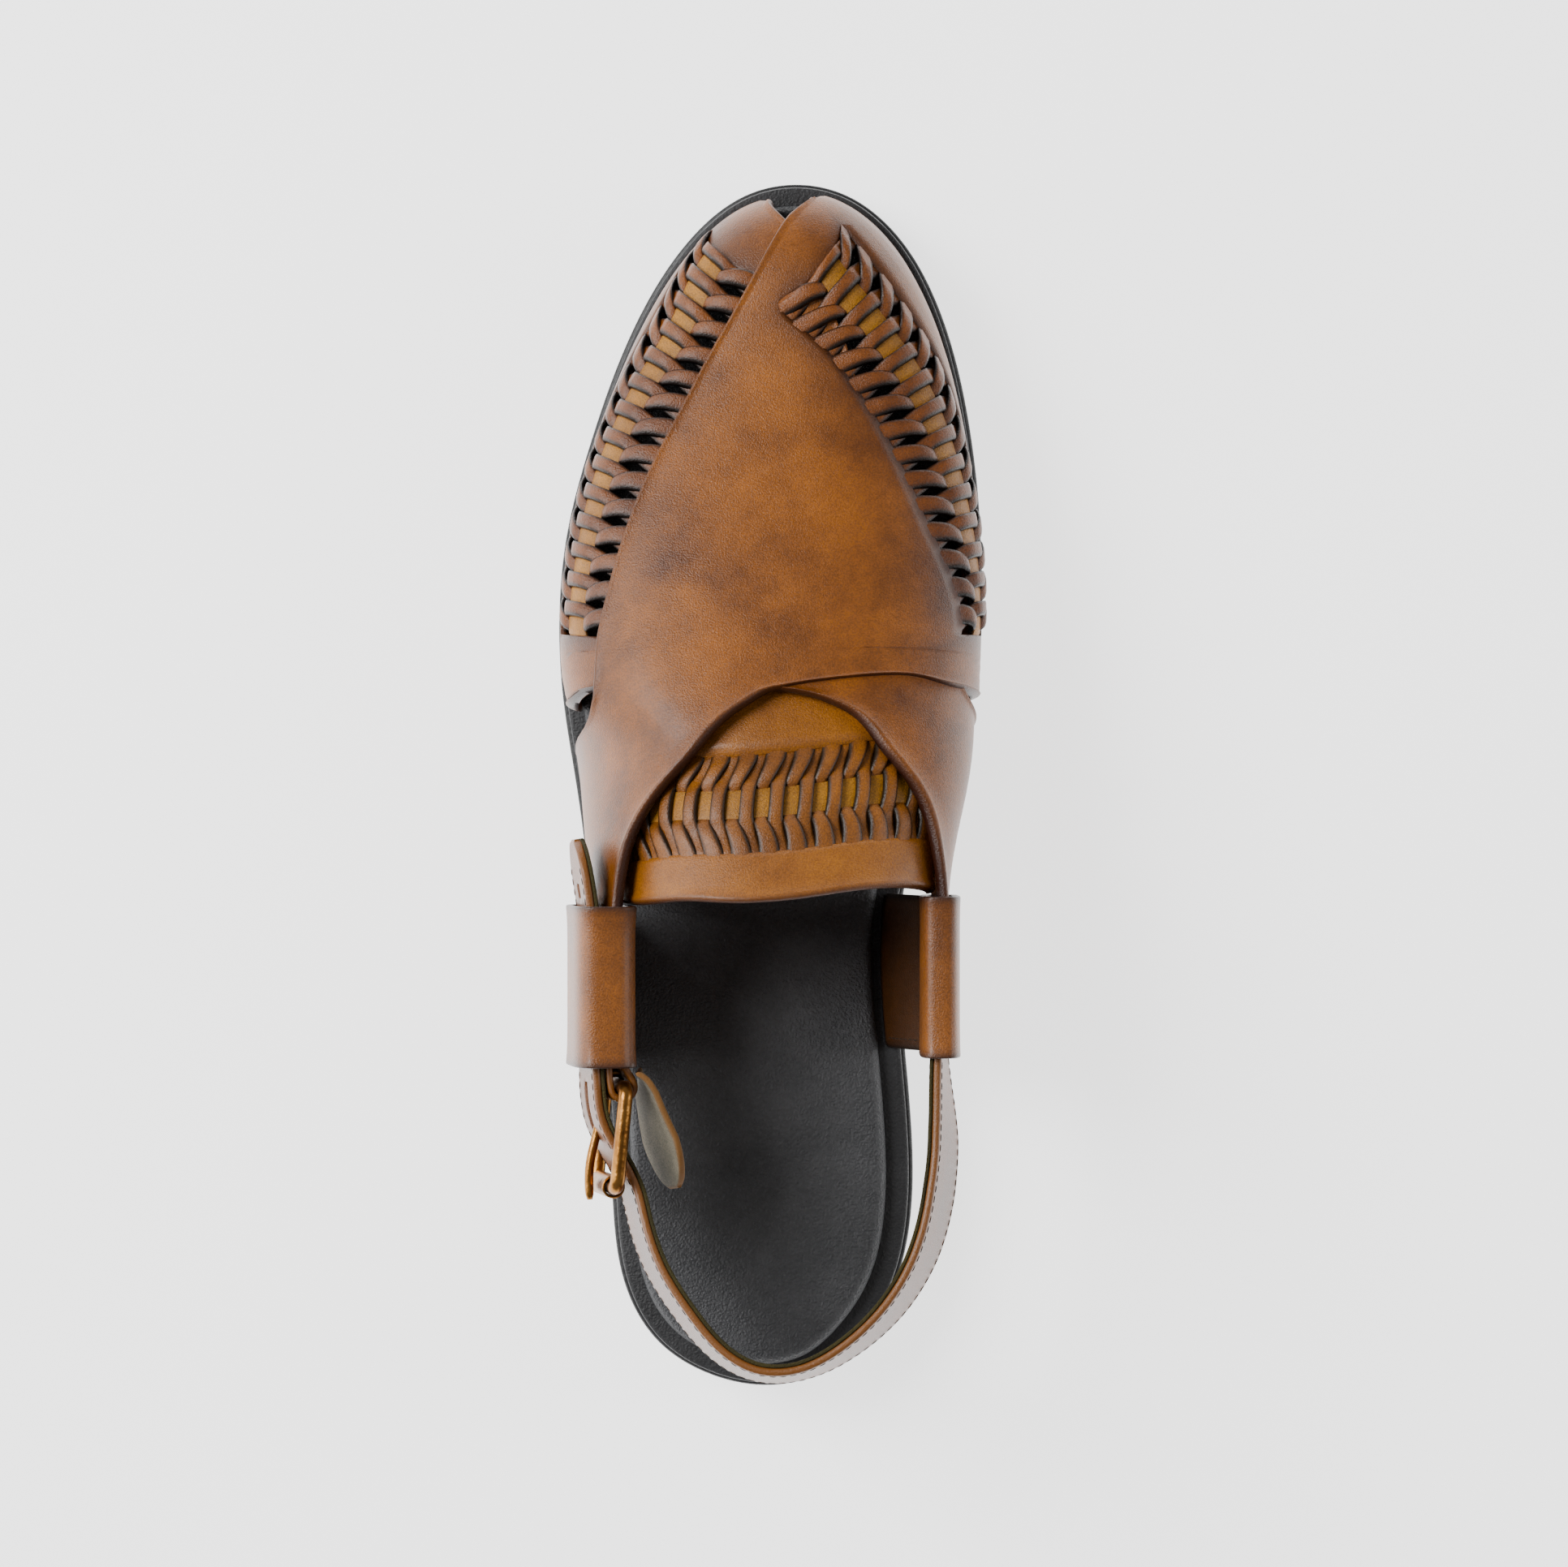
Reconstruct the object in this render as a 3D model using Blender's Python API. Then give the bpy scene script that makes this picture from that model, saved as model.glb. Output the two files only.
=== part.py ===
"""Left peshawari chappal: leather sandal with two crossed woven panels and a buckled heel strap.

Metres, +Z up, +Y towards the toe, +X towards the inner (medial) side of the foot.
Shapes are worked out from the rearmost point of the heel, on the floor; the empty sole_centre
then moves that point so that the origin is under the middle of the sole.
"""
import math
from collections import namedtuple

import bmesh
import bpy
import numpy as np

# Driving sizes of the sole and the last
SHOE_LENGTH = 0.290
BALL_WIDTH = 0.103
INSTEP_HEIGHT = 0.075
HEEL_LIFT = 0.014
TOE_SPRING = 0.008
OUTSOLE_THICK = 0.006
MIDSOLE_THICK = 0.004
INSOLE_THICK = 0.004
HEEL_BLOCK_LENGTH = 0.075
CLEARANCE = 0.0003

# Steps between the layers, measured inwards from the outsole's edge
MIDSOLE_INSET = 0.0011
HEEL_INSET = 0.0006
LAST_INSET = 0.0055
LAST_SHIFT = 0.0008
INSOLE_INSET = LAST_INSET + CLEARANCE
INSOLE_ROUNDING = 0.0022

# Upper and tongue
WALL = 0.0022
PANEL_STEP = 0.0010
PANEL_LAP = 0.0017
TONGUE_WALL = 0.0020
TONGUE_GAP = 0.0011
WEAVE_PITCH = 0.0070
WEAVE_RELIEF = 0.0009
TONGUE_PITCH = 0.0069
RUNG_SHARE = 0.40
PARTNER_SHARE = 0.36
BAND_SHARES = (0.0, 0.24, 0.50, 0.76, 1.0)
EDGE_SHARES = (0.0, 0.25, 0.50, 0.75)

# Heel strap, keepers and what passes through them
STRAP_WIDTH = 0.021
STRAP_THICK = 0.0028
STRAP_LEAN = math.radians(12.0)
SIDE_HEIGHT = 0.0595
BACK_RISE = 0.010
KEEPER_LENGTH = 0.0375
KEEPER_WALL = 0.0016
KEEPER_LEG_THICK = 0.0030
KEEPER_LEG_INSET = 0.0032
KEEPER_PLAY = 0.0020
KEEPER_BOW = 0.0012
KEEPER_FLARE_SHARE = 1.06
KEEPER_LEAN = math.radians(9.0)
KEEPER_POWER = 4.0
LEG_LENGTH_SHARE = 0.98
LEG_HEIGHT_SHARES = (0.0, 0.35, 0.70, 1.0)
LATERAL_CAVITY = 0.0112
MEDIAL_CAVITY = 0.0060
TIP_FLAT_SHARE = 0.08

# Buckle
ROD = 0.0034
ROLLER_DIAMETER = 0.0054
ROLLER_BORE = 0.0042
PRONG_DIAMETER = 0.0021
CHAPE_THICK = 0.0016
GUARD_THICK = 0.0016
GUARD_LEAN = math.radians(20.0)
GUARD_HEIGHT = 0.024
FRAME_PLAY = 0.0010
FRAME_CORNER = 0.0025
PRONG_PLAY = 0.0005
CHAPE_INSET = 0.0010
CHAPE_SHIFT = -0.0024
ROLLER_OFFSET = (-0.0022, -0.0231)
PRONG_SLOT_LOW = (-0.0110, -0.0150, -0.0017)
PRONG_SLOT_HIGH = (0.0010, 0.0016, 0.0017)
HINGE_OFFSET = (0.0035, -0.0234)

Section = namedtuple("Section", "along height ridge lateral medial fullness")
Row = namedtuple("Row", "edge inner outer foot")
TongueRow = namedtuple("TongueRow", "across rear band_rear band_front front")
Place = namedtuple("Place", "along across rise lean")

# Insole's rolled edge: share of INSOLE_ROUNDING inwards, share of INSOLE_THICK up
INSOLE_ROLL = ((0.0, 0.45), (0.35, 0.82), (1.0, 1.0))

# Shares of the shoe's length where the sole's underside changes
HEEL_END_SHARE = 0.27
TREAD_START_SHARE = 0.50
TOE_BREAK_SHARE = 0.74
LAST_BACK_SHARE = 0.36
TAIL_END_SHARE = 0.025
TOE_ROUND_SHARE = 0.14
TOE_POWER = 2.2

# Half outlines of the sole: share of the length, share of the ball width
TOE_POINT = (1.0, 0.073)
HEEL_POINT = (0.0, 0.0)
LATERAL_EDGE = (
    (0.992, -0.036), (0.951, -0.183), (0.9105, -0.263), (0.8495, -0.346),
    (0.788, -0.407), (0.707, -0.466), (0.639, -0.483), (0.5715, -0.474),
    (0.504, -0.445), (0.409, -0.409), (0.307, -0.382), (0.205, -0.359),
    (0.138, -0.350), (0.083, -0.323), (0.036, -0.245), (0.009, -0.124),
)
MEDIAL_EDGE = (
    (0.009, 0.125), (0.036, 0.220), (0.083, 0.306), (0.138, 0.344),
    (0.205, 0.348), (0.307, 0.325), (0.409, 0.330), (0.504, 0.420),
    (0.5715, 0.487), (0.639, 0.510), (0.707, 0.513), (0.788, 0.492),
    (0.8495, 0.458), (0.9105, 0.399), (0.951, 0.332), (0.992, 0.190),
)

# Sections of the last: height is a share of INSTEP_HEIGHT, the sideways bulges of BALL_WIDTH
LAST_SECTIONS = tuple(Section(*row) for row in (
    (0.300, 0.987, 0.058, 0.052, 0.175, 2.4),
    (0.360, 1.000, 0.058, 0.052, 0.170, 2.4),
    (0.410, 0.973, 0.058, 0.052, 0.160, 2.4),
    (0.465, 0.912, 0.054, 0.050, 0.148, 2.4),
    (0.500, 0.866, 0.050, 0.030, 0.135, 2.4),
    (0.530, 0.820, 0.045, 0.018, 0.115, 2.4),
    (0.560, 0.765, 0.037, 0.050, 0.090, 2.45),
    (0.590, 0.712, 0.029, 0.066, 0.074, 2.5),
    (0.650, 0.620, 0.019, 0.056, 0.066, 2.5),
    (0.750, 0.480, 0.000, 0.044, 0.052, 2.5),
    (0.850, 0.367, 0.000, 0.026, 0.031, 2.4),
    (0.930, 0.300, 0.000, 0.010, 0.010, 2.3),
    (1.000, 0.267, 0.000, 0.000, 0.000, 2.2),
))

# Panels: each row runs from the free edge, over both sides of the weave, to the foot or rear edge.
# A point is (share along the last, share of the way round it from the lateral to the medial side).
OVER_ROWS = tuple(Row(*row) for row in (
    ((0.984, 0.575), (0.988, 0.640), (0.991, 0.720), (0.994, 0.900)),
    ((0.950, 0.468), (0.957, 0.545), (0.972, 0.655), (0.985, 1.000)),
    ((0.807, 0.396), (0.847, 0.490), (0.948, 0.661), (0.970, 1.000)),
    ((0.690, 0.357), (0.776, 0.562), (0.852, 0.751), (0.900, 1.000)),
    ((0.586, 0.322), (0.680, 0.635), (0.733, 0.849), (0.780, 1.000)),
    ((0.490, 0.290), (0.563, 0.694), (0.584, 0.895), (0.600, 1.000)),
    ((0.420, 0.272), (0.413, 0.758), (0.413, 0.890), (0.420, 1.000)),
    ((0.385, 0.267), (0.395, 0.560), (0.385, 0.780), (0.335, 1.000)),
    ((0.370, 0.263), (0.385, 0.500), (0.380, 0.660), (0.345, 0.760)),
    ((0.350, 0.254), (0.370, 0.420), (0.374, 0.550), (0.3615, 0.640)),
    ((0.325, 0.232), (0.340, 0.350), (0.350, 0.440), (0.3500, 0.520)),
    ((0.295, 0.170), (0.305, 0.270), (0.316, 0.365), (0.322, 0.470)),
    ((0.255, 0.000), (0.255, 0.150), (0.260, 0.270), (0.272, 0.400)),
    ((0.200, 0.000), (0.200, 0.120), (0.205, 0.210), (0.215, 0.335)),
    ((0.120, 0.000), (0.125, 0.090), (0.135, 0.180), (0.150, 0.280)),
    ((0.080, 0.118), (0.082, 0.150), (0.085, 0.190), (0.088, 0.240)),
    ((0.025, 0.116), (0.025, 0.145), (0.025, 0.180), (0.025, 0.210)),
))
UNDER_ROWS = tuple(Row(*row) for row in (
    ((0.990, 0.360), (0.991, 0.300), (0.992, 0.210), (0.994, 0.060)),
    ((0.945, 0.515), (0.953, 0.430), (0.970, 0.300), (0.985, 0.000)),
    ((0.807, 0.590), (0.877, 0.463), (0.952, 0.110), (0.970, 0.000)),
    ((0.690, 0.615), (0.781, 0.413), (0.847, 0.160), (0.900, 0.000)),
    ((0.586, 0.640), (0.701, 0.364), (0.743, 0.125), (0.780, 0.000)),
    ((0.490, 0.665), (0.585, 0.328), (0.619, 0.110), (0.640, 0.000)),
    ((0.420, 0.690), (0.411, 0.299), (0.418, 0.116), (0.420, 0.000)),
    ((0.388, 0.715), (0.398, 0.450), (0.392, 0.220), (0.330, 0.000)),
    ((0.370, 0.740), (0.387, 0.550), (0.383, 0.370), (0.326, 0.090)),
    ((0.350, 0.770), (0.370, 0.610), (0.373, 0.480), (0.346, 0.230)),
    ((0.325, 0.810), (0.343, 0.690), (0.354, 0.600), (0.350, 0.460)),
    ((0.295, 0.900), (0.305, 0.770), (0.314, 0.670), (0.320, 0.565)),
    ((0.265, 1.000), (0.255, 0.870), (0.255, 0.750), (0.263, 0.616)),
    ((0.200, 1.000), (0.195, 0.900), (0.195, 0.790), (0.202, 0.672)),
    ((0.150, 1.000), (0.145, 0.930), (0.140, 0.830), (0.140, 0.718)),
    ((0.080, 0.872), (0.080, 0.840), (0.080, 0.800), (0.080, 0.760)),
    ((0.025, 0.872), (0.025, 0.845), (0.025, 0.815), (0.025, 0.785)),
))
WEAVE_ROWS = (2, 6)
TONGUE_ROWS = tuple(TongueRow(*row) for row in (
    (0.170, 0.070, 0.120, 0.252, 0.320),
    (0.250, 0.070, 0.126, 0.258, 0.345),
    (0.360, 0.076, 0.135, 0.262, 0.370),
    (0.500, 0.076, 0.140, 0.268, 0.385),
    (0.600, 0.090, 0.154, 0.284, 0.375),
    (0.700, 0.092, 0.156, 0.286, 0.350),
    (0.795, 0.084, 0.152, 0.276, 0.310),
))
TONGUE_WEAVE = (0.235, 0.715)

# Heel strap, from the inner keeper round the heel to the buckle: shares of the length and ball width,
# and the shares of BACK_RISE and of STRAP_LEAN by which the strap is raised and leaned there
STRAP_ROUTE = tuple(Place(*row) for row in (
    (0.3740, 0.400, 0.00, 0.0), (0.3200, 0.400, 0.00, 0.1), (0.2690, 0.402, 0.05, 0.6),
    (0.2170, 0.410, 0.20, 1.2), (0.1720, 0.400, 0.40, 1.4), (0.1250, 0.366, 0.65, 1.4),
    (0.0830, 0.298, 0.85, 1.3), (0.0500, 0.200, 0.97, 1.1), (0.0300, 0.090, 1.00, 0.9),
    (0.0285, -0.010, 1.00, 0.9), (0.0425, -0.090, 0.95, 0.95), (0.0740, -0.172, 0.80, 1.0),
    (0.1100, -0.238, 0.55, 1.0),
))

# The strap goes on past the buckle to its tip: metres (inwards, forwards) from the hinge bar
STRAP_TAIL = (
    (0.0059, -0.0322), (0.0034, -0.0236), (-0.0004, -0.0160), (-0.0043, -0.0083), (-0.0056, -0.0001),
    (-0.0060, 0.0127), (-0.0063, 0.0258), (-0.0064, 0.0388), (-0.0078, 0.0490), (-0.0092, 0.0577),
)
TAIL_RISE_SHARE = 0.25
MEDIAL_TUBE = (0.345, 0.402)
LATERAL_TUBE = (0.3370, -0.367)
GUARD_ROUTE = tuple(Place(*row) for row in (
    (0.0000, -0.2835, 0.0, 0.0), (-0.0075, -0.2700, 0.0, 0.3), (-0.0180, -0.2620, 0.0, 0.6),
    (-0.0560, -0.2320, 0.0, 1.0), (-0.0950, -0.1980, 0.0, 1.0),
))


def smoothstep(value):
    value = min(max(value, 0.0), 1.0)
    return value * value * (3.0 - 2.0 * value)


def natural_spline(knots, values, at):
    """Natural cubic spline through (knots, values), read at the parameters in at."""
    knots = np.asarray(knots, float)
    values = np.asarray(values, float)
    at = np.asarray(at, float)
    step = np.diff(knots)
    count = len(knots)
    system = np.zeros((count, count))
    right = np.zeros(values.shape)
    system[0, 0] = system[-1, -1] = 1.0
    for i in range(1, count - 1):
        system[i, i - 1:i + 2] = step[i - 1], 2.0 * (step[i - 1] + step[i]), step[i]
        right[i] = 6.0 * ((values[i + 1] - values[i]) / step[i] - (values[i] - values[i - 1]) / step[i - 1])
    bend = np.linalg.solve(system, right)
    low = np.clip(np.searchsorted(knots, at, side="right") - 1, 0, count - 2)
    width = step[low]
    after = at - knots[low]
    before = width - after
    if values.ndim > 1:
        width, after, before = width[..., None], after[..., None], before[..., None]
    cubic = (bend[low] * before ** 3 + bend[low + 1] * after ** 3) / (6.0 * width)
    line = (values[low] / width - bend[low] * width / 6.0) * before
    return cubic + line + (values[low + 1] / width - bend[low + 1] * width / 6.0) * after


def chord_lengths(points):
    return np.concatenate([[0.0], np.cumsum(np.linalg.norm(np.diff(points, axis=0), axis=1))])


def sole_outline(samples=600):
    """Points round the outsole's edge, from the toe down the lateral side to the heel and back."""
    loop = [TOE_POINT, *LATERAL_EDGE, HEEL_POINT, *MEDIAL_EDGE]
    points = np.array([(across * BALL_WIDTH, along * SHOE_LENGTH) for along, across in loop])
    wrap = 4
    ring = np.vstack([points[-wrap:], points, points[:wrap + 1]])
    lengths = chord_lengths(ring)
    start, end = lengths[wrap], lengths[wrap + len(points)]
    at = start + (end - start) * np.arange(samples) / samples
    return natural_spline(lengths, ring, at)


OUTLINE = sole_outline()


class SideEdges:
    """Left and right edge of the sole's outline moved inwards by an inset."""

    made = {}

    def __init__(self, inset):
        tangent = np.roll(OUTLINE, -1, axis=0) - np.roll(OUTLINE, 1, axis=0)
        tangent /= np.linalg.norm(tangent, axis=1)[:, None]
        moved = OUTLINE + inset * np.stack([-tangent[:, 1], tangent[:, 0]], axis=1)
        moved = np.roll(moved, -int(np.argmax(moved[:, 1])), axis=0)
        low = int(np.argmin(moved[:, 1]))
        self.lateral = moved[:low + 1][::-1]
        self.medial = np.vstack([moved[low:], moved[:1]])
        self.heel = float(moved[low, 1])
        self.toe = float(moved[0, 1])

    @classmethod
    def at(cls, inset):
        key = round(inset, 7)
        if key not in cls.made:
            cls.made[key] = cls(inset)
        return cls.made[key]

    def sides(self, y):
        lateral = np.interp(y, self.lateral[:, 1], self.lateral[:, 0])
        medial = np.interp(y, self.medial[:, 1], self.medial[:, 0])
        return float(lateral), float(medial)


def outsole_bottom(y):
    """Height of the outsole's underside: on the heel block, over the arch, on the floor, toe spring."""
    along = y / SHOE_LENGTH
    arch = HEEL_LIFT * (1.0 - smoothstep((along - HEEL_END_SHARE) / (TREAD_START_SHARE - HEEL_END_SHARE)))
    spring = TOE_SPRING * (max(along - TOE_BREAK_SHARE, 0.0) / (1.0 - TOE_BREAK_SHARE)) ** 2
    return arch + spring


def midsole_bottom(y):
    return outsole_bottom(y) + OUTSOLE_THICK + CLEARANCE


def seat(y):
    """Height at which the upper, the insole and the keepers sit on the midsole."""
    return midsole_bottom(y) + MIDSOLE_THICK + CLEARANCE


def last_columns(along):
    table = np.array(LAST_SECTIONS)
    return natural_spline(table[:, 0], table[:, 1:], np.array([along]))[0]


def last_point(u, v, offset=0.0):
    """Point on the last: u along it (0 back, 1 toe), v round it (0 lateral foot, 1 medial foot)."""
    side_edges = SideEdges.at(LAST_INSET - offset)
    back = LAST_BACK_SHARE * SHOE_LENGTH
    y = back + u * (side_edges.toe - back)
    height, ridge, lateral, medial, fullness = last_columns(y / SHOE_LENGTH)
    into_toe = min(max((u - 1.0 + TOE_ROUND_SHARE) / TOE_ROUND_SHARE, 0.0), 1.0)
    closing = math.sqrt(1.0 - into_toe ** TOE_POWER)
    left, right = side_edges.sides(y)
    middle = 0.5 * (left + right) - LAST_SHIFT
    half = 0.5 * (right - left)
    angle = math.pi * v
    cosine, sine = math.cos(angle), abs(math.sin(angle))
    bulge = (lateral if cosine > 0.0 else medial) * BALL_WIDTH * closing
    x = middle - half * math.copysign(abs(cosine) ** (2.0 / fullness), cosine)
    x += ridge * BALL_WIDTH * closing * sine - bulge * math.sin(2.0 * angle)
    top = (height * INSTEP_HEIGHT + offset) * closing
    return x, y, seat(y) + top * sine ** (2.0 / fullness)


def material(name, color, roughness, metallic=0.0):
    made = bpy.data.materials.new(name)
    made.use_nodes = True
    shader = made.node_tree.nodes["Principled BSDF"]
    shader.inputs["Base Color"].default_value = (*color, 1.0)
    shader.inputs["Roughness"].default_value = roughness
    shader.inputs["Metallic"].default_value = metallic
    return made


def place(name, points, faces, look, smooth_angle=None):
    """Make an object from points and faces, with its faces turned outwards."""
    mesh = bpy.data.meshes.new(name)
    mesh.from_pydata([tuple(point) for point in points], [], faces)
    work = bmesh.new()
    work.from_mesh(mesh)
    bmesh.ops.recalc_face_normals(work, faces=work.faces[:])
    work.to_mesh(mesh)
    work.free()
    if smooth_angle is not None:
        mesh.shade_smooth()
        mesh.set_sharp_from_angle(angle=smooth_angle)
    if look is not None:
        mesh.materials.append(look)
    made = bpy.data.objects.new(name, mesh)
    made.parent = bpy.data.objects["sole_centre"]
    bpy.context.scene.collection.objects.link(made)
    return made


def boolean(target, operand, operation):
    """Join the operand to the target, or cut it away, and leave it out of the model."""
    step = target.modifiers.new(operation.lower() + "_" + operand.name, "BOOLEAN")
    step.operation = operation
    step.solver = "EXACT"
    step.object = operand
    operand.hide_render = True
    operand.display_type = "WIRE"
    return step


def loft(rings, closed_ends=True, closed_loop=False):
    """Faces over rings of equally many points; returns points and faces."""
    size = len(rings[0])
    points = [point for ring in rings for point in ring]
    faces = []
    last_ring = len(rings) if closed_loop else len(rings) - 1
    for i in range(last_ring):
        here, there = i * size, ((i + 1) % len(rings)) * size
        for j in range(size):
            after = (j + 1) % size
            faces.append((here + j, here + after, there + after, there + j))
    if closed_ends and not closed_loop:
        faces.append(tuple(range(size))[::-1])
        faces.append(tuple(range(len(points) - size, len(points))))
    return points, faces


def sole_layer(name, profile, look, front=None, stations=36):
    """Layer with the sole's outline; profile lists (inset, height function, sideways shift)."""
    rings = []
    for i in range(stations + 1):
        share = i / stations
        ring_left, ring_right = [], []
        for inset, height, shift in profile:
            side_edges = SideEdges.at(inset)
            if front is None:
                end, wave = side_edges.toe, 0.5 - 0.5 * math.cos(math.pi * share)
            else:
                end, wave = front, 1.0 - math.cos(0.5 * math.pi * share)
            y = side_edges.heel + (end - side_edges.heel) * wave
            left, right = side_edges.sides(y)
            if i == 0 or (i == stations and front is None):
                left = right = 0.5 * (left + right)
            ring_left.append((left - shift, y, height(y)))
            ring_right.append((right - shift, y, height(y)))
        rings.append(ring_left + ring_right[::-1])
    points, faces = loft(rings, closed_ends=front is not None)
    made = place(name, points, faces, look)
    work = bmesh.new()
    work.from_mesh(made.data)
    bmesh.ops.remove_doubles(work, verts=work.verts[:], dist=1e-6)
    bmesh.ops.dissolve_degenerate(work, edges=work.edges[:], dist=1e-7)
    bmesh.ops.recalc_face_normals(work, faces=work.faces[:])
    work.to_mesh(made.data)
    work.free()
    made.data.shade_smooth()
    made.data.set_sharp_from_angle(angle=math.radians(40.0))
    return made


def shell(name, outer, inner, holes, look):
    """Closed wall between two grids of points, with the cells in holes left open."""
    rows, columns = len(outer), len(outer[0])
    points = [point for line in outer for point in line] + [point for line in inner for point in line]
    under = rows * columns
    faces = []
    sides = {}
    for i in range(rows - 1):
        for j in range(columns - 1):
            if (i, j) in holes:
                continue
            a, b = i * columns + j, i * columns + j + 1
            c, d = b + columns, a + columns
            faces.append((a, b, c, d))
            faces.append((d + under, c + under, b + under, a + under))
            for edge in ((a, b), (b, c), (c, d), (d, a)):
                if edge[::-1] in sides:
                    del sides[edge[::-1]]
                else:
                    sides[edge] = True
    for start, end in sides:
        faces.append((start, start + under, end + under, end))
    used = sorted({index for face in faces for index in face})
    number = {index: place_in_list for place_in_list, index in enumerate(used)}
    kept = [points[index] for index in used]
    faces = [tuple(number[index] for index in face) for face in faces]
    return place(name, kept, faces, look, math.radians(35.0))


def row_at(rows, at):
    """Smooth row of the panel table at a fractional row number."""
    table = np.array(rows).reshape(len(rows), -1)
    low = min(int(at), len(rows) - 2)
    share = at - low
    before, here = table[max(low - 1, 0)], table[low]
    there, after = table[low + 1], table[min(low + 2, len(rows) - 1)]
    tangent_here = 0.5 * (there - before)
    tangent_there = 0.5 * (after - here)
    square, cube = share ** 2, share ** 3
    value = (2 * cube - 3 * square + 1) * here + (cube - 2 * square + share) * tangent_here
    value += (3 * square - 2 * cube) * there + (cube - square) * tangent_there
    return np.clip(value, 0.0, 1.0).reshape(4, 2)


def weave_stations(rows, first, last, pitch):
    """Fractional rows of the weave's columns: rung, partner strip and gap in every pitch."""
    at = np.linspace(first, last, 81)
    middle = [0.5 * (row_at(rows, t)[1] + row_at(rows, t)[2]) for t in at]
    track = np.array([last_point(u, v) for u, v in middle])
    lengths = chord_lengths(track)
    count = max(int(round(lengths[-1] / pitch)), 1)
    marks = []
    for unit in range(count):
        marks += [unit, unit + RUNG_SHARE, unit + RUNG_SHARE + PARTNER_SHARE]
    marks.append(count)
    return list(np.interp(np.array(marks) / count * lengths[-1], lengths, at)), count


def panel_grid(rows, stations, raised, inside, outside):
    """Outer and inner points of a panel; raised is the set of (station, band line) lifted."""
    outer, inner = [], []
    for i, at in enumerate(stations):
        edge, band_in, band_out, foot = row_at(rows, at)
        line = [edge + (band_in - edge) * share for share in EDGE_SHARES]
        line += [band_in + (band_out - band_in) * share for share in BAND_SHARES]
        line += [0.5 * (band_out + foot), foot]
        lifts = [WEAVE_RELIEF if (i, j) in raised else 0.0 for j in range(len(line))]
        outer.append([last_point(u, v, outside + lift) for (u, v), lift in zip(line, lifts)])
        inner.append([last_point(u, v, inside) for u, v in line])
    return outer, inner


def make_panel(name, rows, inside, outside, look):
    first, last = WEAVE_ROWS
    weave, units = weave_stations(rows, first, last, WEAVE_PITCH)
    toe = list(np.linspace(0.0, first, 4))[:-1]
    rear = list(np.linspace(last, len(rows) - 1, 2 * (len(rows) - 1 - last) + 1))[1:]
    stations = toe + weave + rear
    start = len(toe)
    raised, holes = set(), set()
    for unit in range(units):
        rung = start + 3 * unit
        for station in (rung, rung + 1):
            for line in (5, 6, 7):
                raised.add((station, line))
        holes.add((rung + 2, 4))
        holes.add((rung + 2, 7))
    outer, inner = panel_grid(rows, stations, raised, inside, outside)
    return shell(name, outer, inner, holes, look)


def make_upper(look):
    over = make_panel("upper", OVER_ROWS, WALL - PANEL_LAP, WALL + PANEL_STEP, look)
    under = make_panel("under_panel", UNDER_ROWS, 0.0, WALL, look)
    boolean(over, under, "UNION")
    return over


def make_tongue(look):
    table = np.array(TONGUE_ROWS)
    spots = natural_spline(table[:, 0], table[:, 1:], np.linspace(*TONGUE_WEAVE, 41))
    track = [last_point(0.5 * (row[1] + row[2]), v, -TONGUE_WALL)
             for row, v in zip(spots, np.linspace(*TONGUE_WEAVE, 41))]
    lengths = chord_lengths(np.array(track))
    units = max(int(round(lengths[-1] / TONGUE_PITCH)), 1)
    marks = []
    for unit in range(units):
        marks += [unit, unit + RUNG_SHARE, unit + RUNG_SHARE + PARTNER_SHARE]
    marks.append(units)
    weave = list(np.interp(np.array(marks) / units * lengths[-1], lengths, np.linspace(*TONGUE_WEAVE, 41)))
    before = [table[0, 0], 0.5 * (table[0, 0] + TONGUE_WEAVE[0])]
    after = [0.5 * (table[-1, 0] + TONGUE_WEAVE[1]), table[-1, 0]]
    across = before + weave + after
    outer, inner, holes = [], [], set()
    for i, v in enumerate(across):
        rear, band_rear, band_front, front = natural_spline(table[:, 0], table[:, 1:], np.array([v]))[0]
        line = [rear, *(band_rear + (band_front - band_rear) * share for share in BAND_SHARES), front]
        on_weave = len(before) <= i < len(across) - len(after)
        rung = on_weave and (i - len(before)) % 3 != 2 and i < len(across) - len(after) - 1
        lifts = [WEAVE_RELIEF if rung and j in (2, 3, 4) else 0.0 for j in range(len(line))]
        below = -TONGUE_GAP - WEAVE_RELIEF
        outer.append([last_point(u, v, below + lift) for u, lift in zip(line, lifts)])
        inner.append([last_point(u, v, below - TONGUE_WALL) for u in line])
    for unit in range(units):
        gap = len(before) + 3 * unit + 2
        holes.add((gap, 1))
        holes.add((gap, 4))
    return shell("tongue", outer, inner, holes, look)


def rounded_box(half_width, half_height, power=KEEPER_POWER, count=20):
    """Closed section in the (across, up) plane."""
    ring = []
    for i in range(count):
        angle = 2.0 * math.pi * i / count
        cosine, sine = math.cos(angle), math.sin(angle)
        across = half_width * math.copysign(abs(cosine) ** (2.0 / power), cosine)
        up = half_height * math.copysign(abs(sine) ** (2.0 / power), sine)
        ring.append((across, up))
    return ring


def tube_spot(where):
    along, across = where
    return across * BALL_WIDTH, along * SHOE_LENGTH


def hinge_spot():
    x, y = tube_spot(LATERAL_TUBE)
    return x + HINGE_OFFSET[0], y + HINGE_OFFSET[1]


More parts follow.
